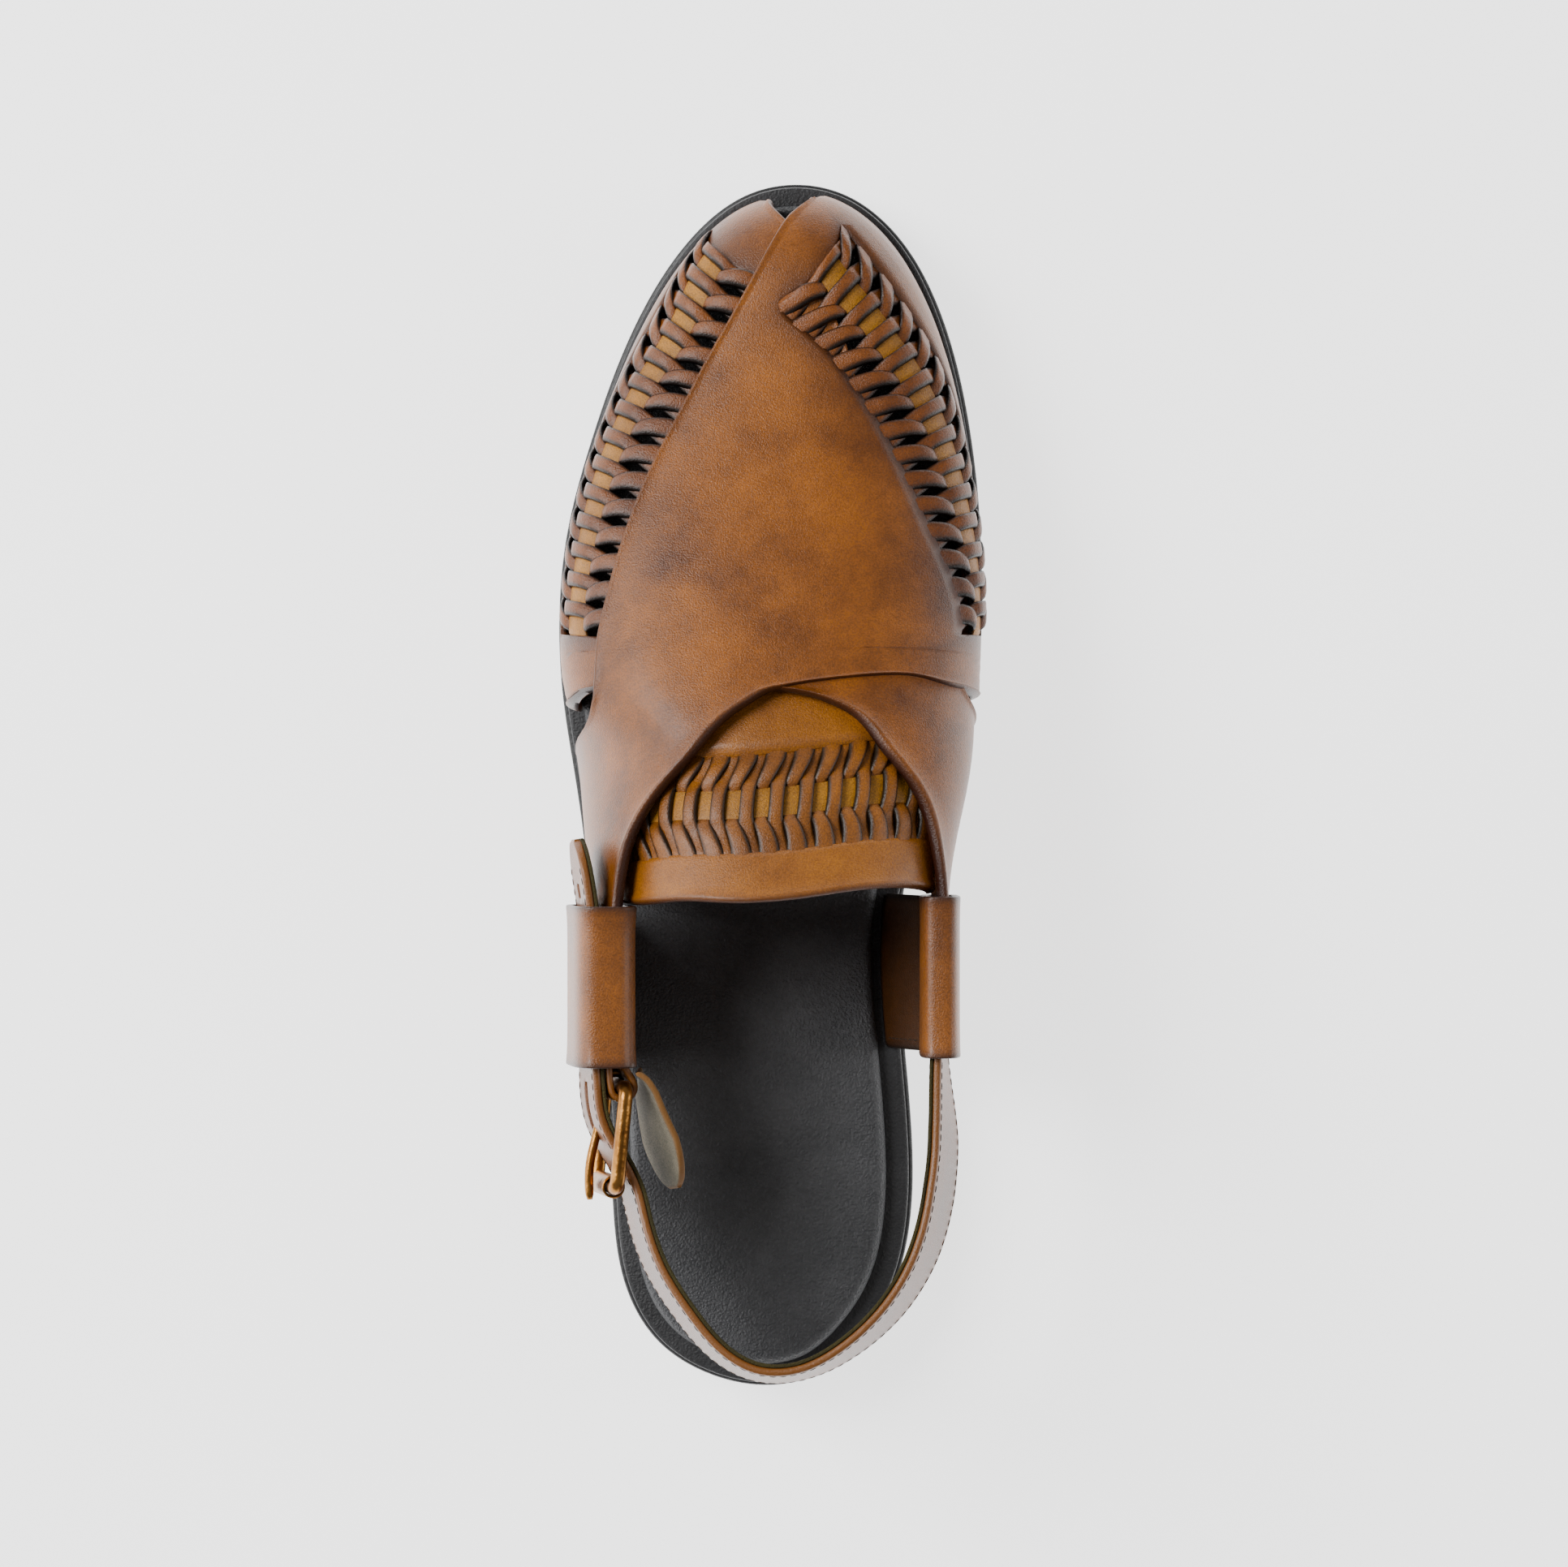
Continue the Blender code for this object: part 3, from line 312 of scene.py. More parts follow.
black_rubber = surface_material("black_rubber", ((0.010, 0.010, 0.011), (0.020, 0.020, 0.021)), 0.25, 0.42,
                                0.25, 900.0)
sole_layer("outsole", (
    (0.0006, outsole_bottom), (0.0, lambda y: outsole_bottom(y) + 0.0006),
    (0.0, lambda y: outsole_bottom(y) + OUTSOLE_THICK - 0.0009),
    (0.00025, lambda y: outsole_bottom(y) + OUTSOLE_THICK - 0.0003),
    (0.0008, lambda y: outsole_bottom(y) + OUTSOLE_THICK)), black_rubber)

# Heel block: stacked black lift under the rear quarter, glued to the outsole.
# Its front, the breast, is cut straight across.
HEEL_INSET = 0.0006
HEEL_BLOCK_LENGTH = 0.075
sole_layer("heel_block", (
    (HEEL_INSET + 0.0005, lambda y: 0.0), (HEEL_INSET, lambda y: 0.0005),
    (HEEL_INSET, lambda y: outsole_bottom(y) - CLEARANCE - 0.0003),
    (HEEL_INSET + 0.0003, lambda y: outsole_bottom(y) - CLEARANCE)),
    black_rubber, front=HEEL_BLOCK_LENGTH, stations=90)

# Midsole: black leather board that shows as a matt rim round the foot and the uppers.
# The panels, the keepers' legs and the insole all stand on it.
MIDSOLE_THICK = 0.004
MIDSOLE_INSET = 0.0011


def midsole_bottom(y):
    return outsole_bottom(y) + OUTSOLE_THICK + CLEARANCE


def seat(y):
    """Height at which the upper, the insole and the keepers sit on the midsole."""
    return midsole_bottom(y) + MIDSOLE_THICK + CLEARANCE


black_board = surface_material("black_board", ((0.012, 0.012, 0.013), (0.030, 0.030, 0.032)), 0.22, 0.55,
                               0.5, 1400.0)
sole_layer("midsole", (
    (MIDSOLE_INSET, midsole_bottom),
    (MIDSOLE_INSET, lambda y: midsole_bottom(y) + MIDSOLE_THICK - 0.0008),
    (MIDSOLE_INSET + 0.0003, lambda y: midsole_bottom(y) + MIDSOLE_THICK - 0.0002),
    (MIDSOLE_INSET + 0.0009, lambda y: midsole_bottom(y) + MIDSOLE_THICK)), black_board)

# Insole: padded sock of black grained leather, its edge rolled over a soft filler.
# It is glued to the midsole inside the uppers and shows in the heel.
LAST_INSET = 0.0055
LAST_SHIFT = 0.0008
INSOLE_THICK = 0.004
# Its base colour is dark grey, not black: partly the leather's own tone, partly painted sheen.
insole_leather_with_sheen = surface_material("insole_leather_with_sheen", ((0.036, 0.037, 0.040), (0.070, 0.071, 0.075)),
                                  0.25, 0.40, 1.0, 1500.0, coat=0.10)
ROLL = (
    (0.0, 0.0), (0.0, 0.45), (0.00025, 0.66), (0.0007, 0.82), (0.0014, 0.94), (0.0022, 1.0), (0.0060, 0.985),
)
sole_layer("insole", tuple(
    (LAST_INSET + CLEARANCE + inward, lambda y, share=share: seat(y) + share * INSOLE_THICK)
    for inward, share in ROLL), insole_leather_with_sheen, shift=LAST_SHIFT)

# Upper: two leather panels pulled over the last, one over the other, and glued under at the feather line.
# Each has a band of slits between two lines; the strips between the slits are twisted over a tan strip.
INSTEP_HEIGHT = 0.075
LAST_BACK = 0.36
TOE_ROUND = 0.14
TOE_POWER = 2.2
WALL = 0.0022
PANEL_STEP = 0.0010
WEAVE_PITCH = 0.0070
END_STEP = 0.02
BURNISH = 0.75
BURNISH_REACH = 0.0045
BURNISH_STEP = 0.010
EDGE_MARK = 0.0018
PANEL_CELLS = (44, 150, 170)
RUNG_PLACES = (0.65, 0.60, 0.15, 0.10)
MM = 0.001
Section = namedtuple("Section", "along height ridge lateral medial fullness")
Row = namedtuple("Row", "edge inner outer foot")
LAST_SECTIONS = tuple(Section(*row) for row in (
    (0.300, 0.987, 0.058, 0.052, 0.175, 2.4),
    (0.360, 1.000, 0.058, 0.052, 0.170, 2.4),
    (0.410, 0.973, 0.058, 0.052, 0.160, 2.4),
    (0.465, 0.912, 0.054, 0.050, 0.148, 2.4),
    (0.500, 0.866, 0.050, 0.030, 0.135, 2.4),
    (0.530, 0.820, 0.045, 0.018, 0.115, 2.4),
    (0.560, 0.765, 0.037, 0.050, 0.090, 2.45),
    (0.590, 0.712, 0.029, 0.066, 0.074, 2.5),
    (0.650, 0.620, 0.019, 0.056, 0.066, 2.5),
    (0.750, 0.480, 0.000, 0.044, 0.052, 2.5),
    (0.850, 0.367, 0.000, 0.026, 0.031, 2.4),
    (0.930, 0.300, 0.000, 0.010, 0.010, 2.3),
    (1.000, 0.267, 0.000, 0.000, 0.000, 2.2),
))
OVER_ROWS = tuple(Row(*row) for row in (
    ((0.984, 0.575), (0.988, 0.640), (0.991, 0.720), (0.994, 0.900)),
    ((0.950, 0.468), (0.957, 0.545), (0.972, 0.655), (0.985, 1.000)),
    ((0.807, 0.396), (0.847, 0.490), (0.948, 0.661), (0.970, 1.000)),
    ((0.690, 0.357), (0.776, 0.562), (0.852, 0.751), (0.900, 1.000)),
    ((0.586, 0.322), (0.680, 0.635), (0.733, 0.849), (0.780, 1.000)),
    ((0.490, 0.290), (0.563, 0.694), (0.584, 0.895), (0.600, 1.000)),
    ((0.420, 0.272), (0.413, 0.758), (0.413, 0.890), (0.420, 1.000)),
    ((0.385, 0.267), (0.395, 0.560), (0.385, 0.780), (0.335, 1.000)),
    ((0.370, 0.263), (0.385, 0.500), (0.380, 0.660), (0.345, 0.760)),
    ((0.350, 0.254), (0.370, 0.420), (0.374, 0.550), (0.3615, 0.640)),
    ((0.325, 0.232), (0.340, 0.350), (0.350, 0.440), (0.3500, 0.520)),
    ((0.295, 0.170), (0.305, 0.270), (0.316, 0.365), (0.322, 0.470)),
    ((0.255, 0.000), (0.255, 0.150), (0.260, 0.270), (0.272, 0.400)),
    ((0.200, 0.000), (0.200, 0.120), (0.205, 0.210), (0.215, 0.335)),
    ((0.120, 0.000), (0.125, 0.090), (0.135, 0.180), (0.150, 0.280)),
    ((0.080, 0.118), (0.082, 0.150), (0.085, 0.190), (0.088, 0.240)),
    ((0.025, 0.116), (0.025, 0.145), (0.025, 0.180), (0.025, 0.210)),
))
UNDER_ROWS = tuple(Row(*row) for row in (
    ((0.990, 0.360), (0.991, 0.300), (0.992, 0.210), (0.994, 0.060)),
    ((0.945, 0.515), (0.953, 0.430), (0.970, 0.300), (0.985, 0.000)),
    ((0.807, 0.590), (0.877, 0.463), (0.952, 0.110), (0.970, 0.000)),
    ((0.690, 0.615), (0.781, 0.413), (0.847, 0.160), (0.900, 0.000)),
    ((0.586, 0.640), (0.701, 0.364), (0.743, 0.125), (0.780, 0.000)),
    ((0.490, 0.665), (0.585, 0.328), (0.619, 0.110), (0.640, 0.000)),
    ((0.420, 0.690), (0.411, 0.299), (0.418, 0.116), (0.420, 0.000)),
    ((0.388, 0.715), (0.398, 0.450), (0.392, 0.220), (0.330, 0.000)),
    ((0.370, 0.740), (0.387, 0.550), (0.383, 0.370), (0.326, 0.090)),
    ((0.350, 0.770), (0.370, 0.610), (0.373, 0.480), (0.346, 0.230)),
    ((0.325, 0.810), (0.343, 0.690), (0.354, 0.600), (0.350, 0.460)),
    ((0.295, 0.900), (0.305, 0.770), (0.314, 0.670), (0.320, 0.565)),
    ((0.265, 1.000), (0.255, 0.870), (0.255, 0.750), (0.263, 0.616)),
    ((0.200, 1.000), (0.195, 0.900), (0.195, 0.790), (0.202, 0.672)),
    ((0.150, 1.000), (0.145, 0.930), (0.140, 0.830), (0.140, 0.718)),
    ((0.080, 0.872), (0.080, 0.840), (0.080, 0.800), (0.080, 0.760)),
    ((0.025, 0.872), (0.025, 0.845), (0.025, 0.815), (0.025, 0.785)),
))
WEAVE_ROWS = (2, 6)
LAST_TABLE = np.array(LAST_SECTIONS)
LAST_COLUMNS = natural_spline(LAST_TABLE[:, 0], LAST_TABLE[:, 1:], np.linspace(0.3, 1.0, 701))


def last_point(u, v, offset=0.0):
    """Point on the last: u along it (0 back, 1 toe), v round it (0 lateral foot, 1 medial foot)."""
    edges = SideEdges.at(round(LAST_INSET - offset, 4))
    back = LAST_BACK * SHOE_LENGTH
    y = back + u * (edges.toe - back)
    at = min(max((y / SHOE_LENGTH - 0.3) * 1000.0, 0.0), 699.999)
    low = int(at)
    height, ridge, lateral, medial, fullness = (
        LAST_COLUMNS[low] + (at - low) * (LAST_COLUMNS[low + 1] - LAST_COLUMNS[low]))
    into_toe = min(max((u - 1.0 + TOE_ROUND) / TOE_ROUND, 0.0), 1.0)
    closing = math.sqrt(1.0 - into_toe ** TOE_POWER)
    left, right = edges.sides(y)
    middle = 0.5 * (left + right) - LAST_SHIFT
    half = 0.5 * (right - left)
    angle = math.pi * min(max(v, 0.0), 1.0)
    cosine, sine = math.cos(angle), abs(math.sin(angle))
    bulge = (lateral if cosine > 0.0 else medial) * BALL_WIDTH * closing
    x = middle - half * math.copysign(abs(cosine) ** (2.0 / fullness), cosine)
    x += ridge * BALL_WIDTH * closing * sine - bulge * math.sin(2.0 * angle)
    top = (height * INSTEP_HEIGHT + offset) * closing
    return np.array((x, y, seat(y) + top * sine ** (2.0 / fullness)))


def row_at(rows, at):
    """Smooth row of the panel table at a fractional row number."""
    table = np.array(rows).reshape(len(rows), -1)
    low = min(int(at), len(rows) - 2)
    share = at - low
    before, here = table[max(low - 1, 0)], table[low]
    there, after = table[low + 1], table[min(low + 2, len(rows) - 1)]
    tangent_here = 0.5 * (there - before)
    tangent_there = 0.5 * (after - here)
    square, cube = share ** 2, share ** 3
    value = (2 * cube - 3 * square + 1) * here + (cube - 2 * square + share) * tangent_here
    value += (3 * square - 2 * cube) * there + (cube - square) * tangent_there
    return np.clip(value, 0.0, 1.0).reshape(4, 2)


def wall_grid(name, rows, columns, surface, holes, look, replaces=()):
    """Closed leather wall on a grid; surface(i, j) gives outer point, inner point and edge mark."""
    outer, inner, marks = [], [], []
    for i in range(rows):
        for j in range(columns):
            top, bottom, mark = surface(i, j)
            outer.append(top)
            inner.append(bottom)
            marks.append(mark)
    under = rows * columns
    faces = []
    sides = {}
    for i in range(rows - 1):
        for j in range(columns - 1):
            if (i, j) in holes:
                continue
            a, b = i * columns + j, i * columns + j + 1
            c, d = b + columns, a + columns
            faces.append((a, b, c, d))
            faces.append((d + under, c + under, b + under, a + under))
            for edge in ((a, b), (b, c), (c, d), (d, a)):
                if edge[::-1] in sides:
                    del sides[edge[::-1]]
                else:
                    sides[edge] = True
    for start, end in sides:
        faces.append((start, start + under, end + under, end))
    points = outer + inner
    return piece(name, points, faces, look, replaces, None, {"edge": marks + marks})


BEAD = (
    (0.0, -0.0011), (0.00025, -0.0003), (0.0007, 0.0002), (0.0013, 0.0005), (0.0020, 0.0003), (0.0030, 0.0),
)


def bead_lift(distance, amount):
    """Height of the rolled edge over the plain leather at a distance in from the edge."""
    reach = [spot for spot, _ in BEAD]
    rolled = float(np.interp(distance, reach, [lift for _, lift in BEAD]))
    plain = float(np.interp(distance, reach[:3], (-0.0011, -0.0003, 0.0)))
    return plain + amount * (rolled - plain)


def spread(start, end, counts):
    return list(np.linspace(start, end, counts, endpoint=False))


EDGE_STEPS = tuple(spot for spot, _ in BEAD)


def make_panel(name, rows, outside, free_edge, free_rear, look, replaces=()):
    """One panel; free_edge and free_rear give, by row, how far each long border is a rolled free edge."""
    first, last = WEAVE_ROWS
    ahead, along, behind = PANEL_CELLS
    stations = spread(0.0, first, ahead) + spread(first, last, along) + spread(last, len(rows) - 1, behind)
    stations.append(len(rows) - 1.0)
    edge_cells, band_cells, foot_cells = 22, 6, 10
    grid = []
    for at in stations:
        edge, inner, outer, foot = row_at(rows, at)
        near = last_point(*edge, outside)
        length_in = np.linalg.norm(last_point(*inner, outside) - near)
        length_out = np.linalg.norm(last_point(*foot, outside) - last_point(*outer, outside))
        shares_in = [min(step / max(length_in, 1e-6), 0.5) for step in EDGE_STEPS]
        shares_in += list(np.linspace(shares_in[-1], 1.0, edge_cells - len(EDGE_STEPS) + 2))[1:]
        shares_out = [1.0 - min(step / max(length_out, 1e-6), 0.5) for step in EDGE_STEPS][::-1]
        shares_out = list(np.linspace(0.0, shares_out[0], foot_cells - len(EDGE_STEPS) + 2))[:-1] + shares_out
        amount_in = float(np.interp(at, range(len(rows)), free_edge))
        amount_out = float(np.interp(at, range(len(rows)), free_rear))
        line = [(edge + (inner - edge) * share, share * length_in, amount_in, (1.0 - share) * length_in)
                for share in shares_in]
        line += [(inner + (outer - inner) * k / band_cells, 1.0, 0.0, 0.0) for k in range(1, band_cells)]
        line += [(outer + (foot - outer) * share, (1.0 - share) * length_out, amount_out, share * length_out)
                 for share in shares_out]
        grid.append(line)
    columns = len(grid[0])
    holes = {(i, j) for i in range(ahead, ahead + along) for j in range(edge_cells, edge_cells + band_cells)}

    def surface(i, j):
        (u, v), distance, amount, to_weave = grid[i][j]
        to_weave += BURNISH_STEP * max(first - stations[i], stations[i] - last, 0.0)
        end_distance = min(stations[-1] - stations[i], stations[i]) * END_STEP
        lift = bead_lift(min(distance, end_distance), amount)
        rim = amount * max(0.0, 1.0 - distance / EDGE_MARK)
        mark = max(rim, BURNISH * math.exp(-to_weave / BURNISH_REACH))
        return last_point(u, v, outside + lift), last_point(u, v, outside - WALL), mark

    return wall_grid(name, len(stations), columns, surface, holes, look, replaces)


def leather(name, colors, edge_and_shade_color, roughness, coat, speck=0.28):
    """Hand-burnished leather: mottled colours, dark specks and pores; darker where marked: edges and painted
    shade.
    """
    made = surface_material(name, colors, 0.22, roughness, 0.35, 2400.0, coat=coat, mottle_size=34.0)
    tree = made.node_tree
    base_color = tree.nodes["Principled BSDF"].inputs["Base Color"]
    plain = base_color.links[0].from_socket
    place = next(node for node in tree.nodes if node.bl_idname == "ShaderNodeTexCoord")
    specks = add_node(tree, "ShaderNodeTexNoise", Scale=2400.0, Detail=2.0)
    tone = add_node(tree, "ShaderNodeMapRange", From_Min=0.35, From_Max=0.62, To_Min=1.0 - speck, To_Max=1.15)
    dim = add_node(tree, "ShaderNodeVectorMath")
    dim.operation = "SCALE"
    mark = add_node(tree, "ShaderNodeAttribute")
    mark.attribute_name = "edge"
    blend = add_node(tree, "ShaderNodeMix")
    blend.data_type = "RGBA"
    blend.inputs["B"].default_value = (*edge_and_shade_color, 1.0)
    for source, target in (
            (place.outputs["Object"], specks.inputs["Vector"]), (specks.outputs["Fac"], tone.inputs["Value"]),
            (plain, dim.inputs[0]), (tone.outputs["Result"], dim.inputs["Scale"]),
            (dim.outputs["Vector"], blend.inputs["A"]), (mark.outputs["Fac"], blend.inputs["Factor"]),
            (blend.outputs["Result"], base_color)):
        tree.links.new(source, target)
    return made


cognac = leather("cognac_leather", ((0.065, 0.016, 0.0020), (0.350, 0.104, 0.0050)),
                 (0.030, 0.007, 0.0030), 0.36, 0.12)
OVER_FREE_EDGE = (1, 1, 1, 1, 1, 1, 1, 1, 1, 1, 1, 0.9, 0, 0, 0, 1, 1)
OVER_FREE_REAR = (0, 0, 0, 0, 0, 0, 0, 0, 1, 1, 1, 1, 1, 1, 1, 1, 1)
UNDER_FREE_REAR = (0, 0, 0, 0, 0, 0, 0, 0, 1, 1, 1, 1, 1, 1, 1, 1, 1)
make_panel("upper_over", OVER_ROWS, WALL + PANEL_STEP, OVER_FREE_EDGE, OVER_FREE_REAR, cognac, ("upper",))
make_panel("upper_under", UNDER_ROWS, WALL, OVER_FREE_EDGE, UNDER_FREE_REAR, cognac)

# Weave of the upper: in every unit of 7 mm two strips swap places, a dark rung passes over a flat tan
# strip and its partner dives under it, so that fingers and small arcs close both sides of the band.


def ribbon(path, half_width, thick):
    """Strip along path points (place along the band, share across it, height), with rounded long edges."""
    section = ((-1.0, -0.5), (-0.98, 0.05), (-0.88, 0.36), (-0.52, 0.5), (0.0, 0.5), (0.52, 0.5),
               (0.88, 0.36), (0.98, 0.05), (1.0, -0.5))
    knots = np.linspace(0.0, 1.0, len(path))
    spots = natural_spline(knots, np.array(path), np.linspace(0.0, 1.0, 15))
    widths = natural_spline(knots, np.array(half_width), np.linspace(0.0, 1.0, 15))
    rings, marks = [], []
    for (along, across, height), half in zip(spots, widths):
        rings.append([(along + half * side, across, height + thick * up) for side, up in section])
        # The marks darken the strip's sides and rounded shoulders: partly the cut edge's own colour, partly
        # painted shade.
        marks += [1.0, 1.0, 0.95, 0.15, 0.0, 0.15, 0.95, 1.0, 1.0]
    points, faces = loft(rings)
    return points, faces, marks


def merge(parts):
    points, faces, marks = [], [], []
    for part_points, part_faces, part_marks in parts:
        start = len(points)
        points += part_points
        faces += [tuple(index + start for index in face) for face in part_faces]
        marks += part_marks
    return points, faces, marks


def twisted_unit(rung_in, rung_out, partner_in, partner_out):
    """Rung and partner of one unit; the values say where their ends lie along the band at each side."""
    swing_in, swing_out = partner_in - 0.57, partner_out - 0.57
    rung = ribbon(((rung_in, -0.06, -0.9 * MM), (0.5 * rung_in, 0.12, -1.0 * MM), (0.12, 0.27, -0.3 * MM),
                   (0.08, 0.36, 0.9 * MM), (0.08, 0.50, 1.25 * MM), (0.08, 0.64, 0.9 * MM),
                   (0.12, 0.73, -0.3 * MM), (0.5 * rung_out, 0.88, -1.0 * MM), (rung_out, 1.06, -0.9 * MM)),
                  (0.36, 0.35, 0.30, 0.26, 0.25, 0.26, 0.30, 0.35, 0.36), 1.3 * MM)
    finger = ribbon(((partner_in, -0.08, -0.85 * MM), (0.57 + 0.98 * swing_in, 0.01, -0.45 * MM),
                     (0.57 + 0.80 * swing_in, 0.10, 0.25 * MM), (0.57 + 0.45 * swing_in, 0.21, 0.7 * MM),
                     (0.57 + 0.10 * swing_in, 0.31, 0.2 * MM), (0.57, 0.40, -1.3 * MM)),
                    (0.40, 0.38, 0.34, 0.30, 0.27, 0.24), 1.2 * MM)
    arc = ribbon(((0.57, 0.60, -1.3 * MM), (0.57 + 0.08 * swing_out, 0.69, 0.2 * MM),
                  (0.57 + 0.40 * swing_out, 0.79, 0.7 * MM), (0.57 + 0.80 * swing_out, 0.90, 0.25 * MM),
                  (0.57 + 0.98 * swing_out, 0.99, -0.45 * MM), (partner_out, 1.08, -0.85 * MM)),
                 (0.24, 0.27, 0.30, 0.34, 0.38, 0.40), 1.2 * MM)
    return merge((rung, finger, arc))


def tan_block():
    """One pitch of the flat tan strip; neighbours join end to end."""
    section = ((0.33, -0.9), (0.335, -0.1), (0.36, 0.1), (0.50, 0.2), (0.64, 0.1), (0.665, -0.1),
               (0.67, -0.9))
    rings = []
    for k in range(9):
        along = -0.02 + 1.04 * k / 8
        sag = 0.35 * math.cos(2.0 * math.pi * (along - 0.08)) ** 2 if abs(along - 0.57) > 0.25 else 0.0
        rings.append([(along, across, (up - sag) * MM) for across, up in section])
    points, faces = loft(rings)
    marks = [1.0, 0.7, 0.2, 0.0, 0.2, 0.7, 1.0] * 9
    return points, faces, marks


def repeat_in_row(name, unit, count, pitch, look):
    """Lay copies of one unit in a row with Geometry Nodes and return the joined mesh."""
    points, faces, marks = unit
    mesh = bpy.data.meshes.new(name)
    mesh.from_pydata([(along * pitch, across, up) for along, across, up in points], [], faces)
    layer = mesh.attributes.new("edge", "FLOAT", "POINT")
    layer.data.foreach_set("value", np.asarray(marks, np.float32))
    mesh.shade_smooth()
    tree = bpy.data.node_groups.new(name + "_row", "GeometryNodeTree")
    sockets = {}
    new_socket = tree.interface.new_socket
    for label, kind in (("Unit", "Geometry"), ("Count", "Int"), ("Pitch", "Float"), ("Leather", "Material")):
        sockets[label] = new_socket(name=label, in_out="INPUT", socket_type="NodeSocket" + kind)
    new_socket(name="Row", in_out="OUTPUT", socket_type="NodeSocketGeometry")
    begin, line, step, copies, real, coat, end = (tree.nodes.new(kind) for kind in (
        "NodeGroupInput", "GeometryNodeMeshLine", "ShaderNodeCombineXYZ", "GeometryNodeInstanceOnPoints",
        "GeometryNodeRealizeInstances", "GeometryNodeSetMaterial", "NodeGroupOutput"))
    for source, out, target, into in (
            (begin, "Count", line, "Count"), (begin, "Pitch", step, "X"), (step, "Vector", line, "Offset"),
            (line, "Mesh", copies, "Points"), (begin, "Unit", copies, "Instance"),
            (copies, "Instances", real, "Geometry"), (real, "Geometry", coat, "Geometry"),
            (begin, "Leather", coat, "Material"), (coat, "Geometry", end, "Row")):
        tree.links.new(source.outputs[out], target.inputs[into])
    holder = bpy.data.objects.new(name, mesh)
    bpy.context.scene.collection.objects.link(holder)
    nodes = holder.modifiers.new("row", "NODES")
    nodes.node_group = tree
    for label, value in (("Count", count), ("Pitch", pitch), ("Leather", look)):
        nodes[sockets[label].identifier] = value
    joined = bpy.data.meshes.new_from_object(holder.evaluated_get(bpy.context.evaluated_depsgraph_get()))
    holder.modifiers.remove(nodes)
    holder.data = joined
    return holder


def bend_onto(holder, where):
    """Move a flat row's points onto the last; where(along, across, height) gives the place."""
    mesh = holder.data
    flat = np.empty(3 * len(mesh.vertices), np.float32)
    mesh.vertices.foreach_get("co", flat)
    bent = [np.asarray(where(*spot)) - MIDDLE for spot in flat.reshape(-1, 3)]
    mesh.vertices.foreach_set("co", np.array(bent, np.float32).ravel())
    work = bmesh.new()
    work.from_mesh(mesh)
    bmesh.ops.recalc_face_normals(work, faces=work.faces[:])
    work.to_mesh(mesh)
    work.free()
    mesh.update()
    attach(holder, "root")
    return holder


def weave_panel(name, rows, outside, rung_look, tan_look):
    first, last = WEAVE_ROWS
    at = np.linspace(first, last, 161)
    track = np.array([last_point(*(0.5 * (row_at(rows, t)[1] + row_at(rows, t)[2]))) for t in at])
    lengths = chord_lengths(track)
    count = max(int(round(lengths[-1] / WEAVE_PITCH)), 1)
    pitch = lengths[-1] / count

    def where(along, across, height):
        row = row_at(rows, float(np.interp(along, lengths, at)))
        u, v = row[1] + (row[2] - row[1]) * across
        return last_point(u, v, outside + height)

    rungs = repeat_in_row(name + "_rungs", twisted_unit(*RUNG_PLACES), count, pitch, rung_look)
    bend_onto(rungs, where)
    bend_onto(repeat_in_row(name + "_tan", tan_block(), count, pitch, tan_look), where)


# The strips' near-black edge colour is partly their cut edges' own colour, partly painted shade on their
# sides.
rung_leather = leather("rung_leather", ((0.070, 0.016, 0.0020), (0.280, 0.078, 0.0040)),
                       (0.006, 0.003, 0.002), 0.36, 0.10)
tan_leather = leather("tan_leather", ((0.240, 0.085, 0.004), (0.520, 0.220, 0.010)),
                      (0.050, 0.020, 0.003), 0.48, 0.05)
weave_panel("over_weave", OVER_ROWS, WALL + PANEL_STEP, rung_leather, tan_leather)
weave_panel("under_weave", UNDER_ROWS, WALL, rung_leather, tan_leather)

# Tongue: a third woven strip across the instep, tucked under both panels and glued there.
# Its rear edge is rolled like the panels' edges.
TONGUE_WALL = 0.0020
TONGUE_DEPTH = 0.0020
TONGUE_PITCH = 0.0069
TONGUE_EDGE_MARK = 0.0022
TONGUE_CELLS = (14, 90)
TONGUE_RUNG_PLACES = (0.47, 0.47, 0.97, 0.96)
TONGUE_WEAVE = (0.235, 0.715)
TongueRow = namedtuple("TongueRow", "across rear band_rear band_front front")
TONGUE_ROWS = tuple(TongueRow(*row) for row in (
    (0.170, 0.070, 0.120, 0.252, 0.320),
    (0.250, 0.070, 0.126, 0.258, 0.345),
    (0.360, 0.076, 0.135, 0.262, 0.370),
    (0.500, 0.076, 0.140, 0.268, 0.385),
    (0.600, 0.090, 0.154, 0.284, 0.375),
    (0.700, 0.092, 0.156, 0.286, 0.350),
    (0.795, 0.084, 0.152, 0.276, 0.310),
))


def tongue_row(v):
    table = np.array(TONGUE_ROWS)
    return natural_spline(table[:, 0], table[:, 1:], np.array([v]))[0]


